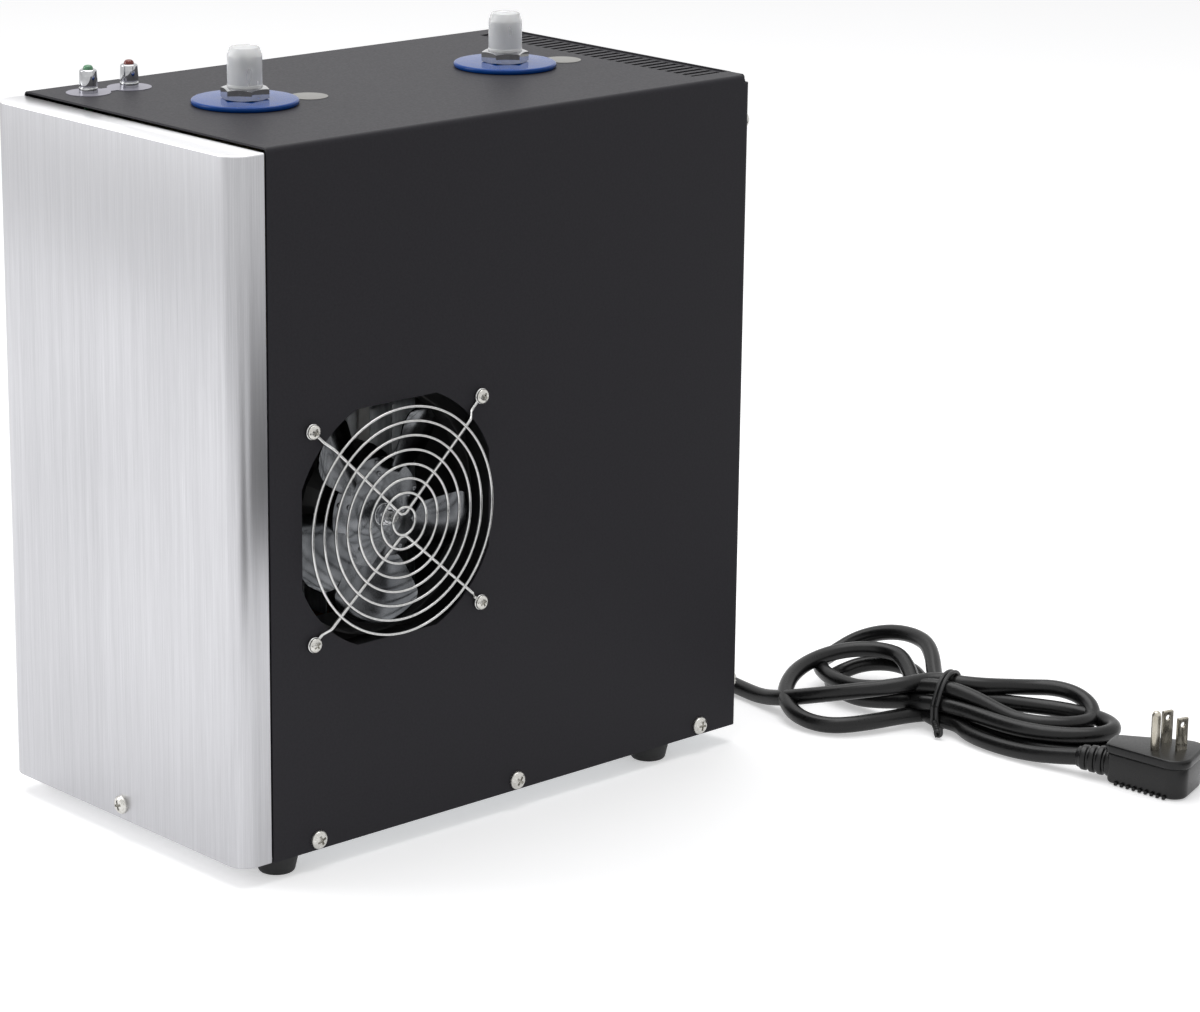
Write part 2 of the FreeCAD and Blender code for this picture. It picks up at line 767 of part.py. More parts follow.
def fan_shaft():
    """The motor's shaft, with the collar that the hub is clamped against."""
    start = MOTOR_X - MOTOR_BOSS_H
    hub_back = BLADE_X + HUB_DISH - HUB_THICK
    collar_start = MOTOR_X + MOTOR_BOSS_H + SHAFT_END_PLAY
    front = BLADE_X + HUB_DISH + SHAFT_FRONT
    at = (0, FAN_Y, FAN_Z)
    return fused([
        peg(20, SHAFT_R, start, front, at, OUTWARD),
        peg(20, COLLAR_R, collar_start, hub_back, at, OUTWARD),
    ])


def shaft_nut():
    seat = BLADE_X + HUB_DISH
    nut = hexagon(NUT_AF, NUT_H, (seat, FAN_Y, FAN_Z), OUTWARD, 12)
    return nut.cut(peg(20, SHAFT_R + RUN_CLEAR, -SHEET, NUT_H + SHEET, (seat, FAN_Y, FAN_Z), OUTWARD))


def fan_motor():
    """A round motor with a bearing boss at the front; the shaft runs in its blind bore."""
    bore = bore_radius(SHAFT_R + RUN_CLEAR, 20)
    depth = -MOTOR_BOSS_H - SHAFT_END_PLAY
    profile = [
        (0, -MOTOR_LEN), (MOTOR_R - MOTOR_EDGE, -MOTOR_LEN), (MOTOR_R, -MOTOR_LEN + MOTOR_EDGE),
        (MOTOR_R, -MOTOR_EDGE), (MOTOR_R - MOTOR_EDGE, 0), (MOTOR_BOSS_R, 0),
        (MOTOR_BOSS_R, MOTOR_BOSS_H), (bore, MOTOR_BOSS_H), (bore, depth), (0, depth),
    ]
    return turned(20, profile, (MOTOR_X, FAN_Y, FAN_Z), OUTWARD)


def motor_bracket():
    """Two straps across the shroud with a plate between them behind the motor."""
    inside = SHROUD_HALF - SHEET
    x0 = STRAP_X
    x1 = STRAP_X + STRAP_THICK
    parts = []
    for side in (-1, 1):
        y = FAN_Y + side * STRAP_SPREAD
        parts.append(block(x0, x1, y - STRAP_W / 2, y + STRAP_W / 2, FAN_Z - inside, FAN_Z + inside))
        for end in (-1, 1):
            z = FAN_Z + end * inside
            bent = z - end * STRAP_THICK
            parts.append(block(x0, x0 + STRAP_FOOT, y - STRAP_W / 2, y + STRAP_W / 2, z, bent))
    reach = STRAP_SPREAD + STRAP_W / 2
    half = STRAP_SPREAD / 2
    parts.append(block(x0, x1, FAN_Y - reach, FAN_Y + reach, FAN_Z - half, FAN_Z + half))
    return fused(parts)


def fan_shroud():
    """A square duct from the condenser to the side panel, with a round throat for the blades."""
    x0 = CONDENSER_X
    x1 = INNER - SHROUD_CLEAR
    half = SHROUD_HALF
    duct = block(x0, x1, FAN_Y - half, FAN_Y + half, FAN_Z - half, FAN_Z + half)
    inside = half - SHEET
    duct = duct.cut(block(x0 - 1, x1 + 1, FAN_Y - inside, FAN_Y + inside, FAN_Z - inside, FAN_Z + inside))
    wall_x = BLADE_X - DUCT_LEN
    wall = block(wall_x, wall_x + SHEET, FAN_Y - inside, FAN_Y + inside, FAN_Z - inside, FAN_Z + inside)
    wall = wall.cut(peg(32, DUCT_R, -SHEET, 2 * SHEET, (wall_x, FAN_Y, FAN_Z), OUTWARD))
    throat = turned(32, [
        (DUCT_R, 0), (DUCT_R + SHEET, 0), (DUCT_R + SHEET, DUCT_LEN), (DUCT_R, DUCT_LEN),
    ], (wall_x, FAN_Y, FAN_Z), OUTWARD)
    return fused([duct, wall, throat])


def condenser_pipe_z(row):
    return FAN_Z + (row - (CONDENSER_ROWS - 1) / 2) * 2 * SHROUD_HALF / CONDENSER_ROWS


def condenser():
    """Upright fins between two end plates that stand on the pan, threaded by rows of pipe."""
    x1 = CONDENSER_X
    x0 = x1 - CONDENSER_T
    half = SHROUD_HALF
    high = FAN_Z + half
    pieces = []
    for side in (-1, 1):
        y = FAN_Y + side * half
        pieces.append(block(x0, x1, y, y - side * END_PLATE, PAN_TOP, high))
    inside = half - END_PLATE
    gap = 2 * inside / (FINS + 1)
    for i in range(FINS):
        y = FAN_Y - inside + (i + 1) * gap
        fin = block(
            x0 + FIN_SETBACK, x1 - FIN_SETBACK, y - FIN_THICK / 2, y + FIN_THICK / 2,
            FAN_Z - half, high - FIN_SETBACK,
        )
        pieces.append(fin)
    reach = half + END_PLATE_CLEAR
    for row in range(CONDENSER_ROWS):
        at = (CONDENSER_PIPE_X, FAN_Y, condenser_pipe_z(row))
        pieces.append(peg(6, PIPE_R, -reach, reach, at, FORWARD))
    return fused(pieces)


def compressor_can():
    """A two-part steel can with a seam flange."""
    high = COMPRESSOR_H
    seam = COMPRESSOR_SEAM_H
    radius = COMPRESSOR_R
    lower = radius - SEAM_FLANGE
    upper = lower - SEAM_FLANGE
    profile = [
        (0, 0), (lower - 2 * SEAM_THICK, 0), (lower, 2 * SEAM_THICK), (lower, seam), (radius, seam),
        (radius, seam + SEAM_THICK), (upper, seam + SEAM_THICK), (upper, high - COMPRESSOR_SHOULDER),
        (0.65 * upper, high - SEAM_THICK), (0, high),
    ]
    return turned(20, profile, (COMPRESSOR_X, COMPRESSOR_Y, COMPRESSOR_BASE))


def compressor():
    """The can on its mounting plate."""
    base = COMPRESSOR_BASE
    reach = MOUNT_SPREAD + MOUNT_R
    plate = block(
        COMPRESSOR_X - reach, COMPRESSOR_X + reach, COMPRESSOR_Y - reach, COMPRESSOR_Y + reach,
        base, base + MOUNT_PLATE,
    )
    for x, y in mount_places():
        plate = plate.cut(peg(8, FOOT_STUD_R, -MOUNT_PLATE, 2 * MOUNT_PLATE, (x, y, base)))
    return fused([compressor_can(), plate])


def mount_places():
    step = MOUNT_SPREAD
    return [(COMPRESSOR_X + sx * step, COMPRESSOR_Y + sy * step) for sx in (-1, 1) for sy in (-1, 1)]


def compressor_mounts():
    """Rubber mounts, each with a stud through the plate."""
    mounts = []
    for x, y in mount_places():
        body = peg(10, MOUNT_R, 0, MOUNT_H, (x, y, PAN_TOP))
        stud = peg(8, FOOT_STUD_R, MOUNT_H, MOUNT_H + MOUNT_PLATE + MOUNT_STUD, (x, y, PAN_TOP))
        mounts.append(fused([body, stud]))
    return Part.makeCompound(mounts)


def terminal_box():
    """The cover of the starter and overload, on the side of the compressor."""
    wall = COMPRESSOR_X + COMPRESSOR_R
    middle = COMPRESSOR_BASE + COMPRESSOR_SEAM_H / 2
    half_w = TERMINAL_W / 2
    half_h = TERMINAL_H / 2
    box = block(
        COMPRESSOR_X, wall + TERMINAL_D, COMPRESSOR_Y - half_w, COMPRESSOR_Y + half_w,
        middle - half_h, middle + half_h,
    )
    box = box.makeChamfer(2 * SHEET, edges_along(box, UP, lambda p: p.x > wall))
    return box.cut(compressor_can())


def tank_deck():
    """A sheet deck whose legs fold down from its front and rear edges and stand on the pan."""
    out = INNER - DECK_SIDE_GAP
    front = FRONT + DECK_FROM_FRONT
    rear = REAR - DECK_FROM_REAR
    pieces = [block(-out, out, front, rear, DECK_TOP - SHEET, DECK_TOP)]
    for side in (-1, 1):
        inner = side * (out - DECK_LEG_W)
        for edge, way in ((front, 1), (rear, -1)):
            pieces.append(block(side * out, inner, edge, edge + way * SHEET, PAN_TOP, DECK_TOP))
            pieces.append(block(side * out, inner, edge, edge + way * DECK_FOOT, PAN_TOP, PAN_TOP + SHEET))
    return fused(pieces)


def tank_outside():
    """A cylinder on its side with a boss under each port."""
    half = TANK_L / 2
    body = peg(16, TANK_R, -half, half, (0, 0, TANK_Z), FORWARD)
    return fused([body] + [peg(12, BOSS_R, 0, BOSS_TOP - TANK_Z, (x, y, TANK_Z)) for x, y in PORTS])


def cold_tank():
    half = TANK_L / 2 - TANK_WALL
    shell = tank_outside().cut(peg(16, TANK_R - TANK_WALL, -half, half, (0, 0, TANK_Z), FORWARD))
    for x, y in PORTS:
        shell = shell.cut(peg(12, STUB_BORE, 0, BOSS_TOP - TANK_Z + 1, (x, y, TANK_Z)))
    return shell


def evaporator():
    """A jacket bonded round the lower half of the tank, with its two pipes out through the foam."""
    radius = TANK_R + JACKET_T
    half = JACKET_L / 2
    jacket = peg(16, radius, -half, half, (0, 0, TANK_Z), FORWARD)
    jacket = jacket.cut(block(-2 * radius, 2 * radius, -JACKET_L, JACKET_L, TANK_Z, TANK_Z + 2 * radius))
    start = half - 2 * PIPE_R
    pipes = []
    for side in (-1, 1):
        at = (side * EVAPORATOR_PIPE_X, 0, EVAPORATOR_PIPE_Z)
        pipes.append(peg(8, PIPE_R, start, FOAM_REAR, at, FORWARD))
    return fused([jacket] + pipes).cut(tank_outside())


def foam_block():
    """The block of foam that is poured round the tank."""
    foam = block(-FOAM_HALF_W, FOAM_HALF_W, FOAM_FRONT, FOAM_REAR, DECK_TOP, FOAM_TOP)
    foam = foam.cut(tank_outside()).cut(evaporator()).cut(sensing_tube())
    for x, y in PORTS:
        foam = foam.cut(peg(12, BOSS_R, BOSS_TOP - TANK_Z, FOAM_TOP - TANK_Z + 1, (x, y, TANK_Z)))
    return foam


def port_stubs():
    """The threaded tails: a shoulder under the top sheet, and a lower end on the tank's boss."""
    seat = TOP - SHEET
    top = TOP + DISC_H + HEX_H + STUB_ABOVE_NUT
    profile = [
        (STUB_BORE, BOSS_TOP), (STUB_R, BOSS_TOP), (STUB_R, seat - SHOULDER_H),
        (SHOULDER_R, seat - SHOULDER_H), (SHOULDER_R, seat), (STUB_R, seat), (STUB_R, top), (STUB_BORE, top),
    ]
    return Part.makeCompound([turned(12, profile, (x, y, 0)) for x, y in PORTS])


def port_disc(place):
    """A coloured disc with a bevelled rim, clamped under the nut."""
    x, y = place
    profile = [(0, 0), (DISC_R, 0), (DISC_R, DISC_H - DISC_EDGE), (DISC_R - DISC_EDGE, DISC_H), (0, DISC_H)]
    disc = turned(28, profile, (x, y, TOP))
    return disc.cut(peg(12, STUB_R + THREAD_CLEAR, -SHEET, DISC_H + SHEET, (x, y, TOP)))


def port_nuts():
    nuts = []
    for (x, y), turn in zip(PORTS, NUT_TURNS):
        nut = hexagon(HEX_AF, HEX_H, (x, y, TOP + DISC_H), UP, turn)
        nuts.append(nut.cut(peg(12, STUB_R + THREAD_CLEAR, -SHEET, HEX_H + SHEET, (x, y, TOP + DISC_H))))
    return Part.makeCompound(nuts)


def thread_caps():
    """Thin caps that taper at the top, standing on the nuts over the threads."""
    bore = STUB_R + CAP_CLEAR
    profile = [
        (bore, 0), (CAP_R, 0), (CAP_R, CAP_H - CAP_TAPER_H), (CAP_TIP_R, CAP_H), (0, CAP_H),
        (0, CAP_H - CAP_TOP), (bore - (CAP_R - CAP_TIP_R), CAP_H - CAP_TOP), (bore, CAP_H - CAP_TAPER_H),
    ]
    return Part.makeCompound([turned(12, profile, (x, y, TOP + DISC_H + HEX_H)) for x, y in PORTS])


def lamp_holders():
    """Chromed sleeves with a fine groove."""
    groove = HOLDER_R - HOLDER_GROOVE
    profile = [
        (HOLDER_BORE, 0), (HOLDER_R, 0), (HOLDER_R, HOLDER_GROOVE_H),
        (groove, HOLDER_GROOVE_H + HOLDER_GROOVE), (HOLDER_TOP_R, HOLDER_H), (HOLDER_BORE, HOLDER_H),
    ]
    return Part.makeCompound([turned(10, profile, (x, y, TOP)) for x, y in LAMPS])


def lamp(place):
    """A domed lens in the holder, its tail through the sheet, and the nut below."""
    x, y = place
    rim = TOP + HOLDER_H
    below = TOP - SHEET
    profile = [
        (0, below - LAMP_TAIL), (HOLDER_BORE, below - LAMP_TAIL), (HOLDER_BORE, rim), (LAMP_R, rim),
        (0.7 * LAMP_R, rim + 0.7 * LAMP_DOME), (0, rim + LAMP_DOME),
    ]
    nut = hexagon(LAMP_NUT_AF, LAMP_NUT_H, (x, y, below - LAMP_NUT_H))
    return fused([turned(10, profile, (x, y, 0)), nut])


def thermostat():
    """The control box, hung under the deck."""
    x0 = -INNER + DECK_SIDE_GAP
    y1 = REAR - THERMOSTAT_FROM_REAR
    z1 = DECK_TOP - SHEET
    body = block(x0, x0 + THERMOSTAT_D, y1 - THERMOSTAT_W, y1, z1 - THERMOSTAT_H, z1)
    return body.makeChamfer(2 * SHEET, edges_along(body, UP, lambda p: p.x > x0 + SHEET))


def sensing_tube():
    """The thermostat's tube, round the rear of the foam and in to the end of the tank."""
    x = -INNER + DECK_SIDE_GAP + THERMOSTAT_D - SENSOR_IN
    start = REAR - THERMOSTAT_FROM_REAR
    z = DECK_TOP - SHEET - THERMOSTAT_H / 2
    out = FOAM_REAR + SENSOR_OUT
    route = [
        (x, start, z), (x, out, z), (x, out, TANK_Z - PIPE_BEND), (SENSOR_X, out, TANK_Z - PIPE_BEND),
        (SENSOR_X, TANK_L / 2, TANK_Z - PIPE_BEND),
    ]
    return mitred(route, SENSOR_R, 6)


def filter_drier():
    """A copper bottle with a cone at each end."""
    neck = bore_radius(PIPE_R, 12)
    profile = [
        (0, 0), (neck, 0), (neck, DRIER_CONE), (DRIER_R, 2 * DRIER_CONE), (DRIER_R, DRIER_L - 2 * DRIER_CONE),
        (neck, DRIER_L - DRIER_CONE), (neck, DRIER_L), (0, DRIER_L),
    ]
    return turned(12, profile, DRIER_AT)


def discharge_pipe():
    """From the upper can of the compressor to the top row of the condenser."""
    x = CONDENSER_PIPE_X
    end = CONDENSER_REAR + END_PLATE_CLEAR
    high = condenser_pipe_z(CONDENSER_ROWS - 1)
    out = end + DISCHARGE_OUT
    route = [(x, COMPRESSOR_Y, DISCHARGE_Z), (x, out, DISCHARGE_Z), (x, out, high), (x, end, high)]
    return pipe(route).cut(compressor_can())


def liquid_pipe():
    """From the bottom row of the condenser down and across to the drier."""
    x = CONDENSER_PIPE_X
    end = CONDENSER_REAR + END_PLATE_CLEAR
    drier_x, out, foot_z = DRIER_AT
    low = foot_z - LIQUID_DROP
    route = [(x, end, condenser_pipe_z(0)), (x, out, condenser_pipe_z(0)), (x, out, low), (drier_x, out, low)]
    return mitred(rounded_corners(route + [DRIER_AT], 0.4 * LIQUID_OUT), PIPE_R, 8)


def capillary_tube():
    """From the drier's top, under the deck and up behind it, to one pipe of the evaporator."""
    x, y, z = DRIER_AT
    out = FOAM_REAR + CAPILLARY_OUT
    low = DECK_TOP - CAPILLARY_UNDER_DECK
    end_x = -EVAPORATOR_PIPE_X
    route = [
        (x, y, z + DRIER_L), (x, y, low), (x, out, low), (end_x, out, low),
        (end_x, out, EVAPORATOR_PIPE_Z), (end_x, FOAM_REAR, EVAPORATOR_PIPE_Z),
    ]
    return mitred(route, CAPILLARY_R, 6)


def suction_pipe():
    """From the evaporator's other pipe, down behind the deck to the compressor."""
    x = EVAPORATOR_PIPE_X
    out = FOAM_REAR + SUCTION_OUT
    route = [
        (x, FOAM_REAR, EVAPORATOR_PIPE_Z), (x, out, EVAPORATOR_PIPE_Z), (x, out, SUCTION_Z),
        (x, COMPRESSOR_Y, SUCTION_Z),
    ]
    return pipe(route).cut(compressor_can())


def cord_bush():
    """The bush in the rear panel, with a flange outside and the cord's bore through it."""
    face = REAR_PANEL_Y + SHEET
    inside = face - BUSH_INSIDE
    tip = face + BUSH_FLANGE_H + BUSH_TIP
    bore = bore_radius(CORD_R, CORD_SIDES)
    profile = [
        (0, inside), (BUSH_R, inside), (BUSH_R, face), (BUSH_FLANGE_R, face),
        (BUSH_FLANGE_R, face + BUSH_FLANGE_H), (BUSH_R, tip), (0, tip),
    ]
    body = turned(12, profile, (CORD_EXIT_X, 0, CORD_EXIT_Z), FORWARD)
    return body.cut(peg(CORD_SIDES, bore, inside - 1, tip - BUSH_TIP, (CORD_EXIT_X, 0, CORD_EXIT_Z), FORWARD))


def hank_lobe(centre, long_half, short_half, turn, height):
    """A loop of gathered strands: an oval block with an eye."""
    def oval(inset, low, high):
        points = [((long_half - inset) * x, (short_half - inset) * y) for x, y in polygon(HANK_SIDES, 1)]
        shape = prism(points, low, high)
        shape.rotate(V(0, 0, 0), UP, turn)
        return shape.translated(V(*centre, 0))

    return oval(0, TIE_THICK, height), oval(HANK_BAND, 0, height + 1)


def across_waist(length, width, low, high):
    shape = block(-length / 2, length / 2, -width / 2, width / 2, low, high)
    shape.rotate(V(0, 0, 0), UP, WAIST_TURN)
    return shape.translated(V(*WAIST, 0))


def cord_hank():
    """The outer shape of the tied hank: two lobes with eyes, and the waist that the tie grips."""
    left, left_eye = hank_lobe(HANK_LEFT, HANK_LEFT_A, HANK_LEFT_B, HANK_LEFT_TURN, HANK_LEFT_H)
    right, right_eye = hank_lobe(HANK_RIGHT, HANK_RIGHT_A, HANK_RIGHT_B, HANK_RIGHT_TURN, HANK_RIGHT_H)
    waist = across_waist(WAIST_L, WAIST_W, TIE_THICK, WAIST_H)
    tie_path = across_waist(TIE_W, 4 * WAIST_W, -1, 2 * WAIST_H)
    tie_path = tie_path.cut(across_waist(2 * TIE_W, WAIST_W, TIE_THICK, WAIST_H))
    return fused([left.cut(left_eye), right.cut(right_eye), waist]).cut(tie_path)


def cord_tie():
    """The wire tie round the waist of the hank."""
    outside = across_waist(TIE_W, WAIST_W + 2 * TIE_THICK, 0, WAIST_H + TIE_THICK)
    return outside.cut(across_waist(2 * TIE_W, WAIST_W, TIE_THICK, WAIST_H))


def at_plug(shape):
    """Turns a shape made along +X from the start of the relief, and moves it to its place."""
    shape.rotate(V(0, 0, 0), UP, PLUG_TURN)
    return shape.translated(V(*PLUG_START, 0))


def plug_outline(extra):
    """A round end that narrows to the neck; extra widens it all round."""
    far = RELIEF_L + PLUG_TO_PINS
    radius = PLUG_R + extra
    steps = 10
    points = [(RELIEF_L, -PLUG_NECK - extra)]
    for i in range(steps + 1):
        angle = math.radians(-100 + 200 * i / steps)
        points.append((far + radius * math.cos(angle), radius * math.sin(angle)))
    return points + [(RELIEF_L, PLUG_NECK + extra)]


def plug():
    """A moulded right-angle plug that lies with its pins up."""
    body = prism(plug_outline(0), 0, PLUG_H - PLUG_STEP)
    flange = prism(plug_outline(PLUG_FLANGE), PLUG_H - PLUG_STEP, PLUG_H)
    relief = peg(CORD_SIDES, CORD_R + SHEET, 0, RELIEF_L + PLUG_NECK, (0, 0, PLUG_AXIS_Z), OUTWARD, RELIEF_R)
    return at_plug(fused([body, flange, relief]))


def plug_pins():
    """Two flat blades and a round earth pin, seated on the plug's face."""
    far = RELIEF_L + PLUG_TO_PINS
    pins = []
    for side in (-1, 1):
        y = side * BLADE_PIN_PITCH / 2
        x = EARTH_PIN_OFF / 2
        half_w = BLADE_PIN_W / 2
        half_t = BLADE_PIN_T / 2
        pins.append(block(x - half_w, x + half_w, y - half_t, y + half_t, PLUG_H, PLUG_H + BLADE_PIN_L))
    pins.append(peg(8, PIN_R, PLUG_H, PLUG_H + PIN_L, (-EARTH_PIN_OFF / 2, 0, 0)))
    group = Part.makeCompound(pins)
    group.rotate(V(0, 0, 0), UP, PINS_TURN + 90 - PLUG_TURN)
    return at_plug(group.translated(V(far, 0, 0)))


def main():
    os.makedirs("parts", exist_ok=True)
    hank = cord_hank()
    nodes = {
        "front_panel": front_panel(),
        "cover": cover(),
        "rear_panel": rear_panel(),
        "base_pan": base_pan(),
        "feet": feet(),
        "case_screws": case_screws(),
        "fan_guard": fan_guard(),
        "guard_feet": guard_feet(),
        "guard_screws": guard_screws(),
        "fan_blades": fan_blades(),
        "fan_shaft": fan_shaft(),
        "shaft_nut": shaft_nut(),
        "fan_motor": fan_motor(),
        "motor_bracket": motor_bracket(),
        "fan_shroud": fan_shroud(),
        "condenser": condenser(),
        "compressor": compressor(),
        "compressor_mounts": compressor_mounts(),
        "terminal_box": terminal_box(),
        "tank_deck": tank_deck(),
        "foam_block": foam_block(),
        "cold_tank": cold_tank(),
        "evaporator": evaporator(),
        "port_stubs": port_stubs(),
        "inlet_disc": port_disc(PORTS[0]),
        "outlet_disc": port_disc(PORTS[1]),
        "port_nuts": port_nuts(),
        "thread_caps": thread_caps(),
        "lamp_holders": lamp_holders(),
        "green_lamp": lamp(LAMPS[0]),
        "red_lamp": lamp(LAMPS[1]),
        "thermostat": thermostat(),
        "sensing_tube": sensing_tube(),
        "filter_drier": filter_drier(),
        "discharge_pipe": discharge_pipe(),
        "liquid_pipe": liquid_pipe(),
        "capillary_tube": capillary_tube(),
        "suction_pipe": suction_pipe(),
        "cord_bush": cord_bush(),
        "power_cord": cord_tube("lead", LEAD_ROUTE).cut(hank),
        "cord_tail": cord_tube("tail", TAIL_ROUTE).cut(hank).cut(plug()),
        "cord_hank": hank,
        "cord_tie": cord_tie(),
        "plug": plug(),
        "plug_pins": plug_pins(),
    }
    for name, shape in nodes.items():
        if not shape.isValid():
            print("not valid:", name)
        shape.exportStep("parts/" + name + ".step")


main()
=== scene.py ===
import bpy
import bmesh
import math
from mathutils import Matrix, Vector


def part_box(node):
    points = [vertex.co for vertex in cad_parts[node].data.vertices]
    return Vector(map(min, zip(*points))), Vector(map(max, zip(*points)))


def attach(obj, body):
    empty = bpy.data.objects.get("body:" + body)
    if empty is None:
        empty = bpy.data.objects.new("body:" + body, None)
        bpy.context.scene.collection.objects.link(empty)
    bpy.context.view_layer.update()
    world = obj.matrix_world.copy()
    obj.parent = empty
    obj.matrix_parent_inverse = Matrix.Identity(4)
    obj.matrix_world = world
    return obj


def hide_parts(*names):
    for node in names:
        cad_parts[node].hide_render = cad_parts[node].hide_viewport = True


# The compact water chiller, dressed, in the part's own frame: +Z up, the stainless front faces -Y, the
# fan looks out of the +X side, and the origin is on the floor under the case. Shapes are made in
# millimetres, and each is brought to metres when it becomes a piece.

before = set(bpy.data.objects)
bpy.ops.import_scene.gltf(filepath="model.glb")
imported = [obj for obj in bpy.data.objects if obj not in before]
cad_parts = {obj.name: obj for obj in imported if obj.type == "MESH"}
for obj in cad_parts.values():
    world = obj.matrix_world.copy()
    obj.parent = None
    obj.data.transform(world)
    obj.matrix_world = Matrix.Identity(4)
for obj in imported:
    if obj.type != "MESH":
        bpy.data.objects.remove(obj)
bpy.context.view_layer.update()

MM = 0.001
UP = Vector((0, 0, 1))
OUTWARD = Vector((1, 0, 0))
SHARP = math.radians(32)


def box_mm(name):
    """The low and high corner of a node, in millimetres."""
    low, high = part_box(name)
    return Vector(low) / MM, Vector(high) / MM


# Camera, fitted to the corners of the case and to the eyelets of the guard
CAMERA_AT = Vector((1506.8, -1252.0, 704.7))
CAMERA_AIM = Vector((76.6, 82.1, 141.3))
CAMERA_ROLL = -0.742
CAMERA_LENS = 119.71
SENSOR = 36.0

# Case: the tray stops a joint short of the cover
FRONT_R = 10.0
SHEET = 1.0
LIP_W = 10.0
LIP_RELIEF = 8.5
FOLD_R = 0.9
JOINT = 0.7

# Feet and screws
FOOT_TOP_R = 11.0
FOOT_BOTTOM_R = 9.0
FOOT_H = 11.0
FOOT_BORE_R = 3.4
FOOT_BORE_TOP = 3.0
FOOT_TAPER_TOP = 8.6
SCREW_R = 4.8
SCREW_H = 3.0
SIDE_SCREW_Z = 15.3
SIDE_SCREW_FROM_FRONT = 47.0
SIDE_SCREW_PITCH = 128.0
FRONT_SCREW_Z = 18.0
REAR_SCREW_IN = 6.0
REAR_SCREW_Z = 24.0
RECESS_FIRST = 17
RECESS_TURN = 31

# Fan and guard
EYELET_HALF = 52.4
RINGS = 8
RING_FIRST_R = 6.9
RING_STEP = 7.03
RING_WIRE = 1.4
LEG_WIRE = 1.7
GUARD_STAND = 4.2
LEG_BEND_ABOVE = 2.0
LEG_BEND_BELOW = 6.5
LEG_EASE = 2.2
LEG_FLAT = 2.0
LEG_UP_PAST_RING = 3.0
LEG_DOWN_PAST_RING = 7.4
EYELET_R = 4.0
GUARD_SCREW_R = 3.7
GUARD_SCREW_H = 1.9
PAD_ROUND = 0.7
BLADES = 5
BLADE_ROOT_R = 22.0
BLADE_TIP_R = 55.0
BLADE_ROOT_HALF = 10.5
BLADE_HALF = 20.5
BLADE_PITCH = 26.0
BLADE_TWIST = 7.0
BLADE_CAMBER = 3.5
BLADE_TIP_ARC = 4.5
BLADE_ROUND_FROM = 0.62
BLADE_ROUND_BY = 0.42
BLADE_THICK = 0.9
BLADE_FIRST = 18.0
FAN_BEHIND_PANEL = 15.0
HUB_R = 27.0
HUB_DISH = 5.0
HUB_BORE = 2.5
HUB_FACE_R = 11.0
HUB_SHEET = 1.2
# The two rivets of each blade: how far out, and how high on the dish
RIVETS = ((19.5, 2.2), (24.6, 0.6))
RIVET_R = 1.5
FAN_NUT_AF = 9.0
FAN_NUT_H = 4.0
FAN_NUT_BORE = 2.46
FAN_NUT_TURN = 12
WASHER_R = 5.6
WASHER_H = 0.9

# Ports and lamps
STUB_R = 6.6
STUB_BORE = 4.2
THREAD_PITCH = 1.8
THREAD_DEPTH = 0.75
SHOULDER_R = 10.5
SHOULDER_H = 4.0
NUT_CLEAR = 0.1
DISC_R = 26.2
DISC_H = 2.6
HEX_AF = 21.0
HEX_H = 5.7
NUT_TURNS = (8.0, 26.0)
CAP_R = 8.5
CAP_TIP_R = 7.1
CAP_H = 19.5
CAP_TAPER_H = 4.2
CAP_WALL = 1.0
CAP_END = 1.4
CAP_LIP = 0.25
HOLDER_R = 4.65
HOLDER_TOP_R = 4.2
HOLDER_H = 11.6
HOLDER_BORE = 2.5
HOLDER_WAIST = 0.5
LENS_R = 2.6
LENS_H = 2.2
LENS_STEM_R = 2.4
LENS_STEM_LOW = -9
LABEL_R = 11.0
LABEL_WAIST = 8.0
PLATE_T = 0.25
STICKER_R = 9.5
STICKER_AT = (4.0, 36.0)

# Bush of the cord
BUSH_R = 8.0
BUSH_COLLAR_R = 10.0
BUSH_COLLAR = (6.0, 8.0)

# Cord: it starts as the lead of the solids and ends as their tail, and the turns of the hank join the two
CORD_D = 8.7
LEAD_ROUTE = [
    (-8.0, 169.0, 21.0), (-8.0, 186.0, 19.5), (-1.2, 201.6, 15.5), (11.1, 213.3, 10.5),
    (26.9, 219.5, 6.4), (44.4, 219.8, 4.6), (62.0, 218.0, 4.6), (80.0, 216.0, 9.0), (97.0, 219.0, 14.0),
    (117.0, 231.0, 19.0), (135.0, 247.0, 23.0),
]
TAIL_ROUTE = [
    (178.0, 257.4, 4.8), (195.0, 255.8, 4.6), (213.0, 257.2, 4.8), (231.0, 260.6, 6.4), (247.0, 265.4, 9.0),
]
WAIST = Vector((152.0, 268.0, 0.0))
WAIST_TURN = 17.0
WAIST_REACH = 11.0
STRANDS = [(6.0, 23.4), (-4.0, 22.9), (8.7, 15.4), (-9.2, 15.2), (8.7, 6.9), (-0.3, 6.8), (-9.6, 6.8)]
# The covered wire goes round all of them: its corners across the waist and up
TIE_CORNERS = [
    (-10.5, 1.4), (9.7, 1.4), (15.2, 7.0), (15.2, 16.0),
    (10.5, 30.0), (-8.5, 30.0), (-15.8, 16.0), (-15.8, 7.0),
]
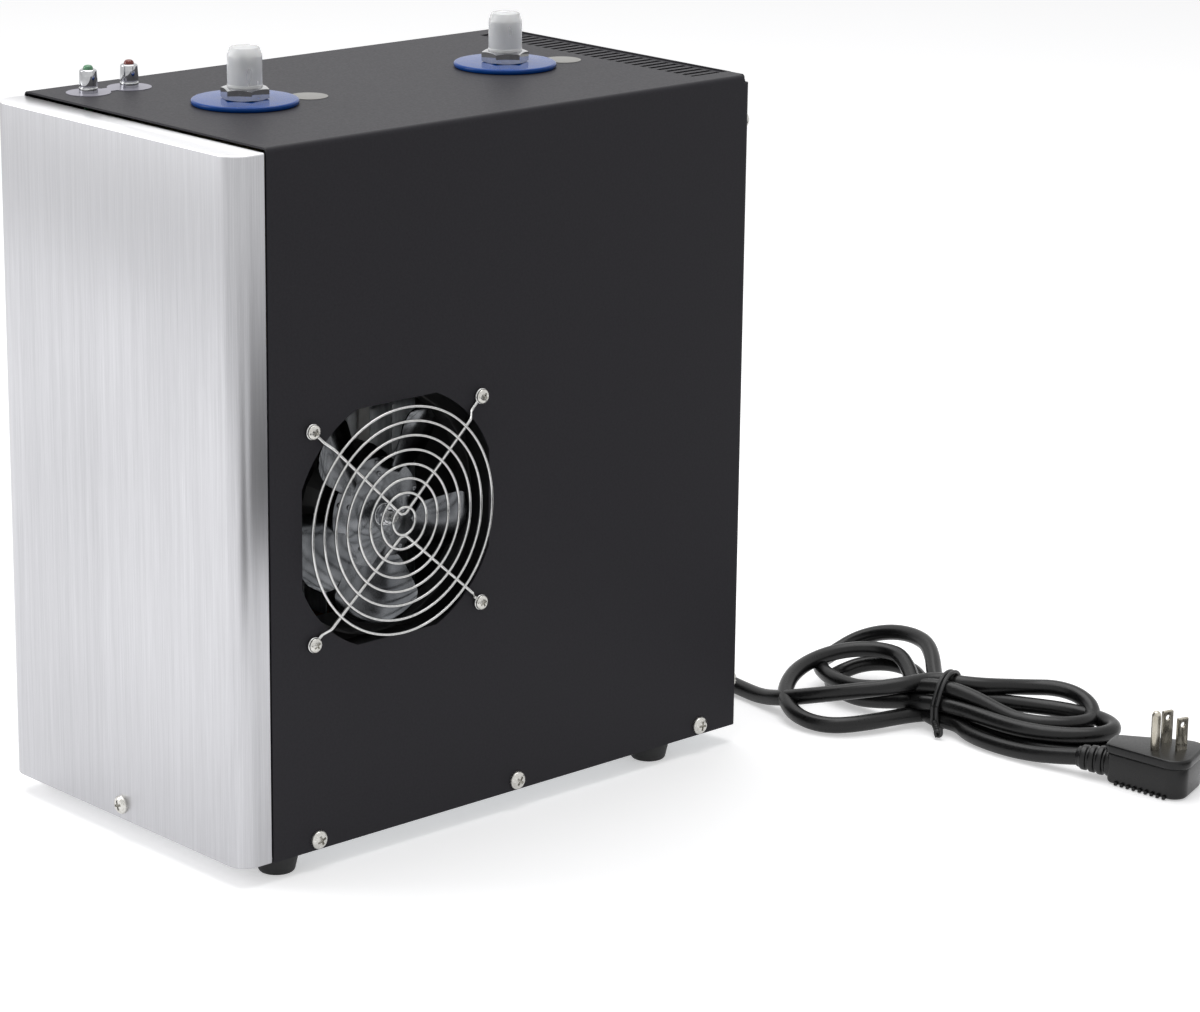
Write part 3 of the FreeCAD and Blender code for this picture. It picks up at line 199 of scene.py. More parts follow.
# Each loop: its centre, heading of its tip, half length and half width, and its heights going out, at the
# tip and coming back
RIGHT_LOOPS = [
    ((196.0, 296.0), 26.0, 27.0, 20.0, (21.0, 13.0, 13.5)),
    ((206.0, 288.0), 20.0, 37.0, 21.0, (13.0, 13.5, 13.0)),
    ((213.0, 287.0), 20.0, 29.0, 17.0, (5.0, 4.6, 4.6)),
]
LEFT_LOOPS = [
    ((92.0, 277.0), 174.0, 38.0, 27.0, (13.0, 14.0, 30.0)),
    ((95.0, 274.0), 173.0, 31.0, 21.0, (6.0, 6.5, 14.0)),
    ((100.0, 249.0), 202.0, 36.0, 44.0, (4.7, 15.0, 22.0)),
]
LOOP_POINTS = 9
LOOP_GAP = 62.0
# Strain relief: a taper from a collar, with one groove in each cycle along it
RELIEF_LEN = 24.0
RELIEF_R = 7.2
RELIEF_TAPER = 2.1
RELIEF_COLLAR_R = 8.0
RELIEF_GROOVE = 0.7
GROOVE_CYCLES = 4.5
GROOVE_FROM = 0.62
GROOVES_WITHIN = (0.15, 0.95)
RELIEF_STEPS = 48
# Tie wire: where its two turns lie along the waist, and how its ends are twisted together and flare
TIE_WIRE = 1.1
TIE_SPOTS = (-1.2, 1.3)
TIE_START = 6
TWIST_FROM = (0, -15.5, 7.0)
TWIST_TO = (6.0, -22.0, 2.2)
TWIST_TURNS = 3.2
TWIST_POINTS = 15
TWIST_CLEAR = 1.2
TWIST_WIRE = 0.85
FLARE_FROM = 0.8
FLARE = 9.0

# Plug
PLUG_AT = Vector((247.0, 265.4, 0.0))
PLUG_TURN = 20.0
PLUG_R = 17.0
PLUG_NECK = 8.0
PLUG_CORNER = 8.0
PLUG_NECK_R = 3.0
PLUG_RELIEF_L = 18.0
PLUG_TO_PINS = 28.0
PLUG_H = 22.0
PLUG_STEP = 5.0
PLUG_AXIS_Z = 9.4
PLUG_CLEAR = 0.3
PLUG_LIP = 1.3
PLUG_RIBS = 3
RIB_FIRST = 2.5
RIB_PITCH = 4.6
RIB_W = 2.7
RIB_R = 6.6
RIB_GROWS = 0.5
PLUG_SINK = 6.0
GRIP_RIBS = 9
GRIP_PITCH = 3.6
GRIP_HALF = 0.9
GRIP_OUT = 0.4
GRIP_Z = (0.4, 2.4)
PINS_TURN = -14.0
PIN_SPACING = 12.7
EARTH_AHEAD = 11.9
PIN_W = 6.35
PIN_T = 1.5
PIN_L = 17.5
PIN_HOLE_R = 1.55
PIN_HOLE_UP = 13.6
EARTH_R = 2.4
EARTH_L = 21.0
PIN_ROOT = 0.5

# Brushed sheet: the widths of its streaks, broad streaks and clouds, and how much each counts
STREAK_W = 0.34
BROAD_STREAK_W = 3.06
CLOUD_W = 160.0
STREAK_SHARES = (0.55, 0.2, 0.25)
# Painted highlight on the folded top flange: where its band starts and ends below the top edge
FLANGE_HIGHLIGHT_BAND = (1.2, 0.2)

# Studio, in metres: each dark card's heading in degrees, its near and far end, and its width
CARDS = {
    "card_beside_camera": (-20.0, 0.38, 1.5, 0.36),
    "card_behind_right": (38.0, 0.5, 2.0, 0.7),
}
CARD_LIFT = 0.002
# Each soft box: where it stands, what it faces, its two sides, and its watts
SOFT_BOXES = {
    "overhead": ((-0.3, 0.1, 1.9), (0, 0, 0.1), (1.8, 1.8), 26),
    "front_left": ((-1.5, -1.6, 1.1), (0, -0.1, 0.15), (1.0, 1.4), 16),
}
FLOOR_SIZE = 6
WORLD_FILL = 0.48
FLOOR_LIFT = 0.42
PAPER_GRAIN = 700.0

CASE_LOW, CASE_HIGH = box_mm("cover")
PANEL_LOW, PANEL_HIGH = box_mm("front_panel")
GUARD_LOW, GUARD_HIGH = box_mm("fan_guard")
TOP = CASE_HIGH.z
RIGHT = CASE_HIGH.x
FRONT = PANEL_LOW.y
REAR = CASE_HIGH.y
FAN = Vector((0, (GUARD_LOW.y + GUARD_HIGH.y) / 2, (GUARD_LOW.z + GUARD_HIGH.z) / 2))
BLADE_X = RIGHT - SHEET - FAN_BEHIND_PANEL


# Shapes

def spun(profile, steps=64, closed=False):
    """A shape of revolution about +Z through (radius, height) points; closed makes a ring of them."""
    shape = bmesh.new()
    points = [shape.verts.new((radius, 0, height)) for radius, height in profile]
    pairs = list(zip(points, points[1:]))
    if closed:
        pairs.append((points[-1], points[0]))
    edges = [shape.edges.new(pair) for pair in pairs]
    bmesh.ops.spin(
        shape, geom=points + edges, axis=UP, cent=(0, 0, 0), angle=math.tau, steps=steps, use_merge=True,
    )
    return cleaned(shape)


def cleaned(shape):
    """Merges doubled points and turns the faces outward."""
    bmesh.ops.remove_doubles(shape, verts=shape.verts, dist=1e-4)
    bmesh.ops.dissolve_degenerate(shape, edges=shape.edges, dist=1e-5)
    bmesh.ops.recalc_face_normals(shape, faces=shape.faces)
    return shape


def rounded(profile, radius, steps=4):
    """The same (radius, height) profile with each inner corner rounded."""
    points = [Vector(p) for p in profile]
    made = [points[0]]
    for before, corner, after in zip(points, points[1:], points[2:]):
        back = before - corner
        ahead = after - corner
        reach = min(radius, back.length / 2.1, ahead.length / 2.1)
        start = corner + back.normalized() * reach
        end = corner + ahead.normalized() * reach
        for i in range(steps + 1):
            t = i / steps
            made.append(start * (1 - t) ** 2 + corner * 2 * t * (1 - t) + end * t * t)
    return made + [points[-1]]


def block(x0, x1, y0, y1, z0, z1):
    shape = bmesh.new()
    bmesh.ops.create_cube(shape, size=1)
    bmesh.ops.scale(shape, vec=(abs(x1 - x0), abs(y1 - y0), abs(z1 - z0)), verts=shape.verts)
    bmesh.ops.translate(shape, vec=((x0 + x1) / 2, (y0 + y1) / 2, (z0 + z1) / 2), verts=shape.verts)
    shape.normal_update()
    return shape


def softened(shape, width, segments=2, wanted=lambda edge: True):
    """Rounds the edges of a shape that are sharp and wanted."""
    sharp = [e for e in shape.edges if len(e.link_faces) == 2 and e.calc_face_angle() > SHARP]
    edges = [e for e in sharp if wanted(e)]
    bmesh.ops.bevel(
        shape, geom=edges, offset=width, offset_type="OFFSET", segments=segments, profile=0.5,
        affect="EDGES", material=-1, clamp_overlap=True,
    )
    return shape


def placed(shape, at=(0, 0, 0), axis=UP, turn=0.0):
    """Turns a shape about its own Z, points that along the axis, and moves it."""
    aim = Vector(axis).to_track_quat("Z", "Y").to_matrix().to_4x4()
    spin = Matrix.Rotation(math.radians(turn), 4, "Z")
    bmesh.ops.transform(shape, matrix=Matrix.Translation(at) @ aim @ spin, verts=shape.verts)
    return shape


def as_mesh(shape, name="part"):
    mesh = bpy.data.meshes.new(name)
    shape.to_mesh(mesh)
    shape.free()
    return mesh


def joined(shapes):
    whole = bmesh.new()
    for shape in shapes:
        mesh = as_mesh(shape)
        whole.from_mesh(mesh)
        bpy.data.meshes.remove(mesh)
    return whole


def carved(shape, tool, way="DIFFERENCE"):
    """The shape less the tool, or what both share, or both as one."""
    pair = [bpy.data.objects.new("part", as_mesh(one)) for one in (shape, tool)]
    for one in pair:
        bpy.context.scene.collection.objects.link(one)
    change = pair[0].modifiers.new("carve", "BOOLEAN")
    change.operation = way
    change.object = pair[1]
    change.solver = "EXACT"
    made = bmesh.new()
    made.from_object(pair[0], bpy.context.evaluated_depsgraph_get())
    for one in pair:
        bpy.data.objects.remove(one)
    return cleaned(made)


def spline_of(name, points, radius=0.0, sides=3):
    """A smooth curve through the route's points, in millimetres; a radius makes it a tube."""
    data = bpy.data.curves.new(name, "CURVE")
    data.dimensions = "3D"
    spline = data.splines.new("NURBS")
    spline.points.add(len(points) - 1)
    for point, place in zip(spline.points, points):
        point.co = (place[0] * MM, place[1] * MM, place[2] * MM, 1)
    spline.order_u = 3
    spline.use_endpoint_u = True
    data.resolution_u = 6
    data.bevel_depth = radius * MM
    data.bevel_resolution = sides
    data.use_fill_caps = True
    return bpy.data.objects.new(name, data)


def wire(points, radius, sides=3):
    """A bent wire as a shape."""
    holder = spline_of("part", points, radius, sides)
    mesh = bpy.data.meshes.new_from_object(holder)
    shape = bmesh.new()
    shape.from_mesh(mesh)
    bmesh.ops.scale(shape, vec=(1 / MM, 1 / MM, 1 / MM), verts=shape.verts)
    bpy.data.objects.remove(holder)
    bpy.data.meshes.remove(mesh)
    return cleaned(shape)


def eased(points, reach):
    """Points beside each bend of a wire, so that its runs are straight and its bends are short."""
    points = [Vector(p) for p in points]
    made = [points[0]]
    for before, bend, after in zip(points, points[1:], points[2:]):
        back = (before - bend).normalized() * min(reach, (before - bend).length * 0.45)
        ahead = (after - bend).normalized() * min(reach, (after - bend).length * 0.45)
        made += [bend + back, bend, bend + ahead]
    return made + [points[-1]]


def tube_along(line, radii, sides=20):
    """A tube round a line of points, with its own radius at each."""
    shape = bmesh.new()
    rings = []
    for i, place in enumerate(line):
        ahead = line[min(i + 1, len(line) - 1)] - line[max(i - 1, 0)]
        aim = ahead.to_track_quat("Z", "Y").to_matrix().to_4x4()
        made = bmesh.ops.create_circle(
            shape, cap_ends=False, segments=sides, radius=radii[i], matrix=Matrix.Translation(place) @ aim,
        )
        ring = list({edge for vert in made["verts"] for edge in vert.link_edges})
        if rings:
            bmesh.ops.bridge_loops(shape, edges=rings[-1] + ring)
        rings.append(ring)
    for ring in (rings[0], rings[-1]):
        bmesh.ops.contextual_create(shape, geom=ring)
    return cleaned(shape)


def piece(name, shape, material, body="chassis", nodes=()):
    """Makes a shape a piece of the object, in metres, on its body."""
    bmesh.ops.scale(shape, vec=(MM, MM, MM), verts=shape.verts)
    for face in shape.faces:
        face.smooth = True
    for edge in shape.edges:
        edge.smooth = len(edge.link_faces) == 2 and edge.calc_face_angle() < SHARP
    made = bpy.data.objects.new(name, as_mesh(shape, name))
    made.data.materials.append(material)
    return on_body(made, body, nodes)


def on_body(made, body="chassis", nodes=()):
    """Links a piece and says its body and the nodes that it replaces."""
    bpy.context.scene.collection.objects.link(made)
    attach(made, body)
    if nodes:
        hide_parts(*nodes)
    return made


# Materials

def linear(hex_colour):
    """An sRGB hex colour as the linear values that the shaders take."""
    values = [int(hex_colour[i:i + 2], 16) / 255 for i in (1, 3, 5)]
    return tuple(v / 12.92 if v <= 0.04045 else ((v + 0.055) / 1.055) ** 2.4 for v in values) + (1.0,)


def add(tree, kind, inputs=None, **settings):
    """Adds a node with its settings; an input is linked where it is given a socket, or set."""
    made = tree.nodes.new("ShaderNode" + kind)
    for name, value in settings.items():
        setattr(made, name, value)
    for key, value in (inputs or {}).items():
        if isinstance(value, bpy.types.NodeSocket):
            tree.links.new(value, made.inputs[key])
        else:
            made.inputs[key].default_value = value
    return made


def blank(name):
    """A material with no nodes but its object coordinates."""
    material = bpy.data.materials.new(name)
    material.use_nodes = True
    tree = material.node_tree
    tree.nodes.clear()
    return material, tree, add(tree, "TexCoord").outputs["Object"]


def finish(name, shader_inputs, pale, dark, grain, stretch=(1, 1, 1), rough=(0.3, 0.4), bump=0.0, depth=0.05,
           detail=3.0):
    """A surface whose colour, roughness and height vary together over a grain size in millimetres."""
    material, tree, place = blank(name)
    stretched = add(tree, "Mapping", {"Vector": place, "Scale": stretch}).outputs["Vector"]
    noise = add(tree, "TexNoise", {
        "Vector": stretched, "Scale": 1000 / grain, "Detail": detail, "Roughness": 0.6,
    })
    spread = add(tree, "MapRange", {
        "Value": noise.outputs["Fac"], "From Min": 0.3, "From Max": 0.7, "To Min": 0.0, "To Max": 1.0,
    }).outputs["Result"]
    colour = add(tree, "Mix", {"Factor": spread, 6: linear(dark), 7: linear(pale)}, data_type="RGBA")
    roughness = add(tree, "MapRange", {"Value": spread, "To Min": rough[0], "To Max": rough[1]})
    links = {"Base Color": colour.outputs[2], "Roughness": roughness.outputs["Result"]}
    if bump:
        raised = add(tree, "Bump", {"Height": spread, "Strength": bump, "Distance": depth * MM})
        links["Normal"] = raised.outputs["Normal"]
    shader = add(tree, "BsdfPrincipled", {**shader_inputs, **links})
    add(tree, "OutputMaterial", {"Surface": shader.outputs["BSDF"]})
    return material


METAL = {"Metallic": 1.0}


def brushed_sheet():
    """Brushed along its height: fine streaks and broad faint clouds; a painted highlight lifts a band along
    the folded top flange to near white.
    """
    material, tree, place = blank("brushed_front_with_painted_highlight")
    along = add(tree, "Mapping", {"Vector": place, "Scale": (1, 1, 0.008)}).outputs["Vector"]
    streak = add(tree, "TexNoise", {
        "Vector": along, "Scale": 1000 / STREAK_W, "Detail": 6.0, "Roughness": 0.7,
    })
    broad = add(tree, "TexNoise", {"Vector": along, "Scale": 1000 / BROAD_STREAK_W, "Detail": 2.0})
    cloud = add(tree, "TexNoise", {"Vector": place, "Scale": 1000 / CLOUD_W, "Detail": 1.0})
    parts = []
    for layer, weight in zip((streak, broad, cloud), STREAK_SHARES):
        part = add(tree, "Math", {0: layer.outputs["Fac"], 1: weight}, operation="MULTIPLY")
        parts.append(part.outputs[0])
    share = add(tree, "Math", {0: parts[0], 1: parts[1]}, operation="ADD").outputs[0]
    share = add(tree, "Math", {0: share, 1: parts[2]}, operation="ADD").outputs[0]
    spread = add(tree, "MapRange", {"Value": share, "From Min": 0.32, "From Max": 0.68}).outputs["Result"]
    tone = add(tree, "Mix", {
        "Factor": spread, 6: linear("#A9A9AC"), 7: linear("#C8C8CB"),
    }, data_type="RGBA").outputs[2]
    # Painted highlight: the band just under the top edge is blended to near white
    flange = add(tree, "MapRange", {
        "Value": add(tree, "SeparateXYZ", {0: place}).outputs["Z"],
        "From Min": (PANEL_HIGH.z - FLANGE_HIGHLIGHT_BAND[0]) * MM, "From Max": (PANEL_HIGH.z - FLANGE_HIGHLIGHT_BAND[1]) * MM,
    }, interpolation_type="SMOOTHSTEP").outputs["Result"]
    tone = add(tree, "Mix", {"Factor": flange, 6: tone, 7: linear("#EDEDEF")}, data_type="RGBA").outputs[2]
    rough = add(tree, "MapRange", {"Value": spread, "To Min": 0.36, "To Max": 0.27}).outputs["Result"]
    raised = add(tree, "Bump", {"Height": streak.outputs["Fac"], "Strength": 0.08, "Distance": 0.02 * MM})
    shader = add(tree, "BsdfPrincipled", {
        "Metallic": 1.0, "Anisotropic": 0.5, "Base Color": tone, "Roughness": rough,
        "Normal": raised.outputs["Normal"],
    })
    add(tree, "OutputMaterial", {"Surface": shader.outputs["BSDF"]})
    return material


# Stainless steel 304 for the front: fine vertical grain, bright, with a painted highlight along the top fold
brushed_front = brushed_sheet()
# Stainless steel 304 elsewhere, brushed along the height
brushed_stainless = finish(
    "brushed_stainless", {**METAL, "Anisotropic": 0.55}, "#CBCBCE", "#B6B6BA", 0.45, (1, 1, 0.012),
    (0.26, 0.40), 0.10, 0.02, 5.0,
)
# Polyester powder coat on steel, satin black: a fine orange peel of about a millimetre
powder_coat = finish(
    "powder_coat", {"Specular IOR Level": 0.12}, "#302F33", "#2B2A2E", 1.3, (1, 1, 1), (0.44, 0.54),
    0.18, 0.03,
)
# Hot-dip zinc on sheet steel: spangle of several millimetres, dull and cool
zinc_sheet = finish("zinc_sheet", METAL, "#B9BDC0", "#8F9498", 7.0, (1, 1, 1), (0.34, 0.52), 0.05, 0.03)
# Nitrile rubber, moulded: matt black with a faint dusting
moulded_rubber = finish("moulded_rubber", {}, "#1C1C1D", "#121213", 1.6, (1, 1, 1), (0.58, 0.74), 0.2, 0.05)
# Nickel-plated steel screws, tumbled: bright with fine scuffs
nickel_plate = finish("nickel_plate", METAL, "#D9D8D4", "#B9B7B1", 0.8, (1, 1, 1), (0.18, 0.34), 0.08, 0.02)
# Chromed steel wire: drawn wire under bright chrome, so nearly a mirror with faint lines
chrome_wire = finish("chrome_wire", METAL, "#D9D9D8", "#BEBEBD", 1.2, (1, 1, 1), (0.07, 0.15), 0.03, 0.01)
# Rolled aluminium sheet, polished: long faint rolling marks; its tone is set far darker than aluminium's own,
# a painted shade for the dark inside of the case
aluminium_with_painted_shade = finish(
    "aluminium_with_painted_shade", METAL, "#7F8184", "#4C4E51", 14.0, (1, 1, 1), (0.12, 0.22), 0.0, 0.01, 2.0,
)
# Ground steel shaft and zinc nut
ground_steel = finish("ground_steel", METAL, "#C9C9C8", "#A5A5A4", 0.5, (0.2, 1, 1), (0.2, 0.32), 0.05, 0.01)
# Baked enamel on the motor and its laminations
motor_enamel = finish("motor_enamel", {}, "#1F1F20", "#151516", 2.0, (1, 1, 1), (0.38, 0.55), 0.1, 0.04)
# Thin aluminium fin stock: mill finish, slightly oily
fin_stock = finish("fin_stock", METAL, "#CDD0D2", "#A9ACAF", 2.2, (1, 1, 0.2), (0.3, 0.45), 0.06, 0.02)
# Dipped black paint on the compressor can: thick, glossy, with runs
dipped_paint = finish("dipped_paint", {}, "#161617", "#0E0E0F", 6.0, (1, 1, 0.4), (0.22, 0.36), 0.12, 0.08)
# Glass-filled nylon covers, moulded with a spark-eroded texture
moulded_nylon = finish("moulded_nylon", {}, "#202021", "#171718", 0.8, (1, 1, 1), (0.46, 0.6), 0.22, 0.04)
# Polyurethane foam, cut: fine open cells
cut_foam = finish("cut_foam", {}, "#D9CFA8", "#BFB286", 1.5, (1, 1, 1), (0.85, 0.95), 0.5, 0.2)
# Soft copper tube, drawn and handled: warm with darker tarnish
drawn_copper = finish("drawn_copper", METAL, "#C98A63", "#9A5F40", 3.5, (1, 1, 1), (0.24, 0.42), 0.05, 0.02)
# ABS, moulded glossy and coloured through
glossy_abs = finish(
    "glossy_abs_blue", {"Specular IOR Level": 0.14}, "#08418B", "#073A80", 9.0, (1, 1, 1), (0.12, 0.2),
    0.02, 0.03,
)
# Zinc die casting under bright chrome: a clean mirror
bright_chrome = finish("bright_chrome", METAL, "#C2C3C5", "#AEAFB1", 3.0, (1, 1, 1), (0.04, 0.08), 0.0, 0.01)
# Natural polyethylene: milky, so that the tail shows through it only softly
natural_polyethylene = finish(
    "natural_polyethylene", {"Transmission Weight": 0.6, "IOR": 1.3},
    "#FFFFFF", "#F6F7F8", 6.0, (1, 1, 0.3), (0.2, 0.28), 0.0, 0.03,
)
# Acrylic lamp lenses, tinted through
green_acrylic = finish(
    "green_acrylic", {"Transmission Weight": 0.35, "IOR": 1.49},
    "#6FA982", "#5B9A70", 1.5, (1, 1, 1), (0.12, 0.2),
)
red_acrylic = finish(
    "red_acrylic", {"Transmission Weight": 0.35, "IOR": 1.49},
    "#963626", "#7A2A1E", 1.5, (1, 1, 1), (0.12, 0.2),
)
# Plasticised PVC jacket: near black, softly shining, with faint draw lines
pvc_jacket = finish(
    "pvc_jacket", {"Specular IOR Level": 0.36}, "#0E0E0F", "#090909", 1.2, (1, 1, 1), (0.26, 0.38),
    0.08, 0.03,
)
# PVC-covered tie wire
tie_pvc = finish("tie_pvc", {}, "#1B1B1C", "#111112", 0.9, (1, 1, 1), (0.36, 0.5), 0.1, 0.03)
# Nickel-plated brass pins, slightly worn
plated_brass = finish("plated_brass", METAL, "#C9C4B8", "#A8A294", 1.8, (1, 1, 0.25), (0.2, 0.36), 0.05, 0.02)
# Bare aluminium foil stock for the label, with a cool coat
label_foil = finish(
    "label_foil", {"Metallic": 0.6}, "#96949F", "#858390", 2.0, (1, 0.2, 1), (0.3, 0.42), 0.04, 0.01,
)
# White baked enamel on the fan's bracket
white_enamel = finish("white_enamel", {}, "#EFEFEC", "#E2E2DE", 5.0, (1, 1, 1), (0.3, 0.42), 0.06, 0.03)
# Black felt on the studio's cards
black_felt = finish(
    "black_felt", {"Specular IOR Level": 0.1}, "#0B0B0C", "#070708", 3.0, (1, 1, 1), (0.9, 0.95),
)
# Plain silver paper for the round stickers
sticker_paper = finish(
    "sticker_paper", {"Metallic": 0.35}, "#8F8E8B", "#807F7C", 0.6, (1, 1, 1), (0.5, 0.62), 0.1, 0.02,
)

CARRIED = {
    "cover": powder_coat, "rear_panel": powder_coat, "base_pan": zinc_sheet, "fan_motor": motor_enamel,
    "fan_shaft": ground_steel, "motor_bracket": white_enamel, "fan_shroud": moulded_nylon,
    "condenser": fin_stock, "compressor": dipped_paint, "compressor_mounts": moulded_rubber,
    "terminal_box": moulded_nylon, "tank_deck": zinc_sheet, "foam_block": cut_foam,
    "cold_tank": brushed_stainless, "evaporator": drawn_copper, "thermostat": moulded_nylon,
    "sensing_tube": ground_steel, "filter_drier": drawn_copper, "discharge_pipe": drawn_copper,
    "liquid_pipe": drawn_copper, "capillary_tube": drawn_copper, "suction_pipe": drawn_copper,
}


def dress_carried():
    """Gives the nodes that stay as the CAD made them their real finishes."""
    for name, material in CARRIED.items():
        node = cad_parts[name]
        for slot in node.material_slots:
            slot.material = material


# Camera and cords

def place_camera():
    data = bpy.data.cameras.new("camera")
    data.lens = CAMERA_LENS
    data.sensor_width = SENSOR
    data.sensor_fit = "HORIZONTAL"
    data.dof.use_dof = False
    camera = bpy.data.objects.new("camera", data)
    bpy.context.scene.collection.objects.link(camera)
    look = (CAMERA_AIM - CAMERA_AT).normalized()
    turn = look.to_track_quat("-Z", "Y").to_matrix()
    roll = Matrix.Rotation(math.radians(CAMERA_ROLL), 3, look)
    camera.matrix_world = Matrix.Translation(CAMERA_AT * MM) @ (roll @ turn).to_4x4()
    bpy.context.scene.camera = camera


def loop_turn(centre, heading, along, across, heights):
    """One loop of the hank, clockwise from above, from the waist round its tip and back."""
    points = []
    turn = math.radians(heading)
    out, tip, back = heights
    for i in range(LOOP_POINTS):
        share = i / (LOOP_POINTS - 1)
        angle = math.radians(180 - LOOP_GAP - share * (360 - 2 * LOOP_GAP))
        x = along * math.cos(angle)
        y = across * math.sin(angle)
        side = out if share < 0.5 else back
        z = tip + (side - tip) * abs(math.sin(angle))
        points.append((
            centre[0] + x * math.cos(turn) - y * math.sin(turn),
            centre[1] + x * math.sin(turn) + y * math.cos(turn),
            z,
        ))
    return points


def across_waist(along, over, z):
    """A place at the waist of the hank: along its strands, across them, and up."""
    turn = math.radians(WAIST_TURN)
    way = Vector((math.cos(turn), math.sin(turn), 0))
    side = Vector((-math.sin(turn), math.cos(turn), 0))
    return WAIST + way * along + side * over + UP * z


def strand(index, way):
    """The two points where a strand enters and leaves the tie; way is 1 to the right and -1 back."""
    over, z = STRANDS[index]
    return [tuple(across_waist(-WAIST_REACH * way, over, z)), tuple(across_waist(WAIST_REACH * way, over, z))]


def cord_route():
    """The whole route: the lead, three turns to each side of the tie, and the tail."""
    route = list(LEAD_ROUTE)
    for i in range(3):
        route += strand(2 * i, 1) + loop_turn(*RIGHT_LOOPS[i])
        route += strand(2 * i + 1, -1) + loop_turn(*LEFT_LOOPS[i])
    return route + strand(6, 1) + TAIL_ROUTE


def centre_line(route):
    """The points of the cord's own spline, in millimetres."""
    holder = spline_of("part", route)
    mesh = bpy.data.meshes.new_from_object(holder)
    line = [v.co / MM for v in mesh.vertices]
    bpy.data.objects.remove(holder)
    bpy.data.meshes.remove(mesh)
    return line


def run_length(line):
    return sum((b - a).length for a, b in zip(line, line[1:]))


def strain_relief(line):
    """A tapered sleeve with four grooves, on the cord where it leaves the rear."""
    reach = 0.0
    kept = [line[0]]
    for a, b in zip(line, line[1:]):
        reach += (b - a).length
        if reach > RELIEF_LEN:
            break
        kept.append(b)
    radii = []
    points = []
    total = run_length(kept)
    for i in range(RELIEF_STEPS + 1):
        share = i / RELIEF_STEPS
        goal = share * total
        walked = 0.0
        for a, b in zip(kept, kept[1:]):
            length = (b - a).length
            if walked + length >= goal:
                points.append(a.lerp(b, (goal - walked) / length))
                break
            walked += length
        else:
            points.append(kept[-1])
        cycle = (share * GROOVE_CYCLES) % 1
        in_groove = cycle > GROOVE_FROM and GROOVES_WITHIN[0] < share < GROOVES_WITHIN[1]
        groove = RELIEF_GROOVE if in_groove else 0.0
        radii.append(RELIEF_R - RELIEF_TAPER * share - groove)
    radii[0] = RELIEF_COLLAR_R
    radii[-1] = CORD_D / 2 + 0.2
    return tube_along(points, radii)


def tie_wires():
    """The covered tie wire: once round the strands, and its ends twisted together below."""
    wires = []
    corners = len(TIE_CORNERS)
    for along in TIE_SPOTS:
        route = [across_waist(along, *TIE_CORNERS[(TIE_START + i) % corners]) for i in range(corners + 1)]
        wires.append(wire(route, TIE_WIRE))
    knot = across_waist(*TWIST_FROM)
    for phase in (0, math.pi):
        twist = []
        for i in range(TWIST_POINTS):
            share = i / (TWIST_POINTS - 1)
            angle = phase + share * TWIST_TURNS * math.tau
            swing = TIE_WIRE * (1.0 + max(0.0, share - FLARE_FROM) * FLARE)
            centre = knot.lerp(across_waist(*TWIST_TO), share)
            centre.z = max(centre.z, TWIST_CLEAR + swing)
            twist.append(centre + Vector((math.cos(angle), 0.3 * math.cos(angle), math.sin(angle))) * swing)
        wires.append(wire(twist, TIE_WIRE * TWIST_WIRE))
    return joined(wires)


def at_plug(shape):
    """Moves a shape from the plug's own axes to the plug's place."""
    turn = Matrix.Rotation(math.radians(PLUG_TURN), 4, "Z")
    bmesh.ops.transform(shape, matrix=Matrix.Translation(PLUG_AT) @ turn, verts=shape.verts)
    return shape


def plug_block(extra, low, high, soft):
    """A block that widens from the neck to a flat end with round corners."""
    shape = bmesh.new()
    far = PLUG_RELIEF_L + PLUG_TO_PINS
    inset = PLUG_R - PLUG_CORNER
    for z in (low, high):
        for side in (-1, 1):
            bmesh.ops.create_circle(
                shape, segments=40, radius=PLUG_CORNER + extra,
                matrix=Matrix.Translation((far + inset, side * inset, z)),
            )
            bmesh.ops.create_circle(
                shape, segments=24, radius=PLUG_NECK_R + extra,
                matrix=Matrix.Translation((PLUG_RELIEF_L + PLUG_NECK_R, side * (PLUG_NECK - PLUG_NECK_R), z)),
            )
    hull = bmesh.ops.convex_hull(shape, input=shape.verts)
    spare = [item for item in hull["geom_interior"] if isinstance(item, bmesh.types.BMVert)]
    bmesh.ops.delete(shape, geom=spare, context="VERTS")
    loose = [edge for edge in shape.edges if not edge.link_faces]
    bmesh.ops.delete(shape, geom=loose, context="EDGES")
    bmesh.ops.dissolve_limit(shape, angle_limit=0.02, verts=shape.verts, edges=shape.edges)
    cleaned(shape)
    return softened(shape, soft, 3, lambda e: abs((e.verts[0].co - e.verts[1].co).z) < 1e-3)


def plug_body():
    """A block with a wider lip, a ribbed neck round the cord, and a row of grip ribs at its foot."""
    body = plug_block(0, PLUG_CLEAR, PLUG_H - PLUG_STEP + 1, 2.2)
    flange = plug_block(PLUG_LIP, PLUG_H - PLUG_STEP, PLUG_H, 1.2)
    ribs = []
    profile = [(0, 0), (5.4, 0), (5.6, 1.5)]
    for i in range(PLUG_RIBS):
        at = RIB_FIRST + i * RIB_PITCH
        wide = RIB_R + RIB_GROWS * i
        neck = 5.7 + 0.4 * i
        profile += [(wide, at), (wide + 0.1, at + RIB_W), (neck, at + RIB_W + 0.3), (neck + 0.1, at + 4.4)]
    inside = PLUG_RELIEF_L + PLUG_SINK
    profile += [(7.6, PLUG_RELIEF_L - 1.5), (7.9, inside), (0, inside)]
    relief = placed(spun(rounded(profile, 0.5, 3), 40), (0, 0, PLUG_AXIS_Z), OUTWARD)
    for i in range(GRIP_RIBS):
        x = inside + i * GRIP_PITCH
        wide = PLUG_NECK + (x - PLUG_RELIEF_L) * (PLUG_R - PLUG_NECK) / (PLUG_TO_PINS + 4) + GRIP_OUT
        ribs.append(softened(block(x - GRIP_HALF, x + GRIP_HALF, -wide, wide, *GRIP_Z), 0.4, 2))
    return at_plug(joined([body, flange, relief] + ribs))


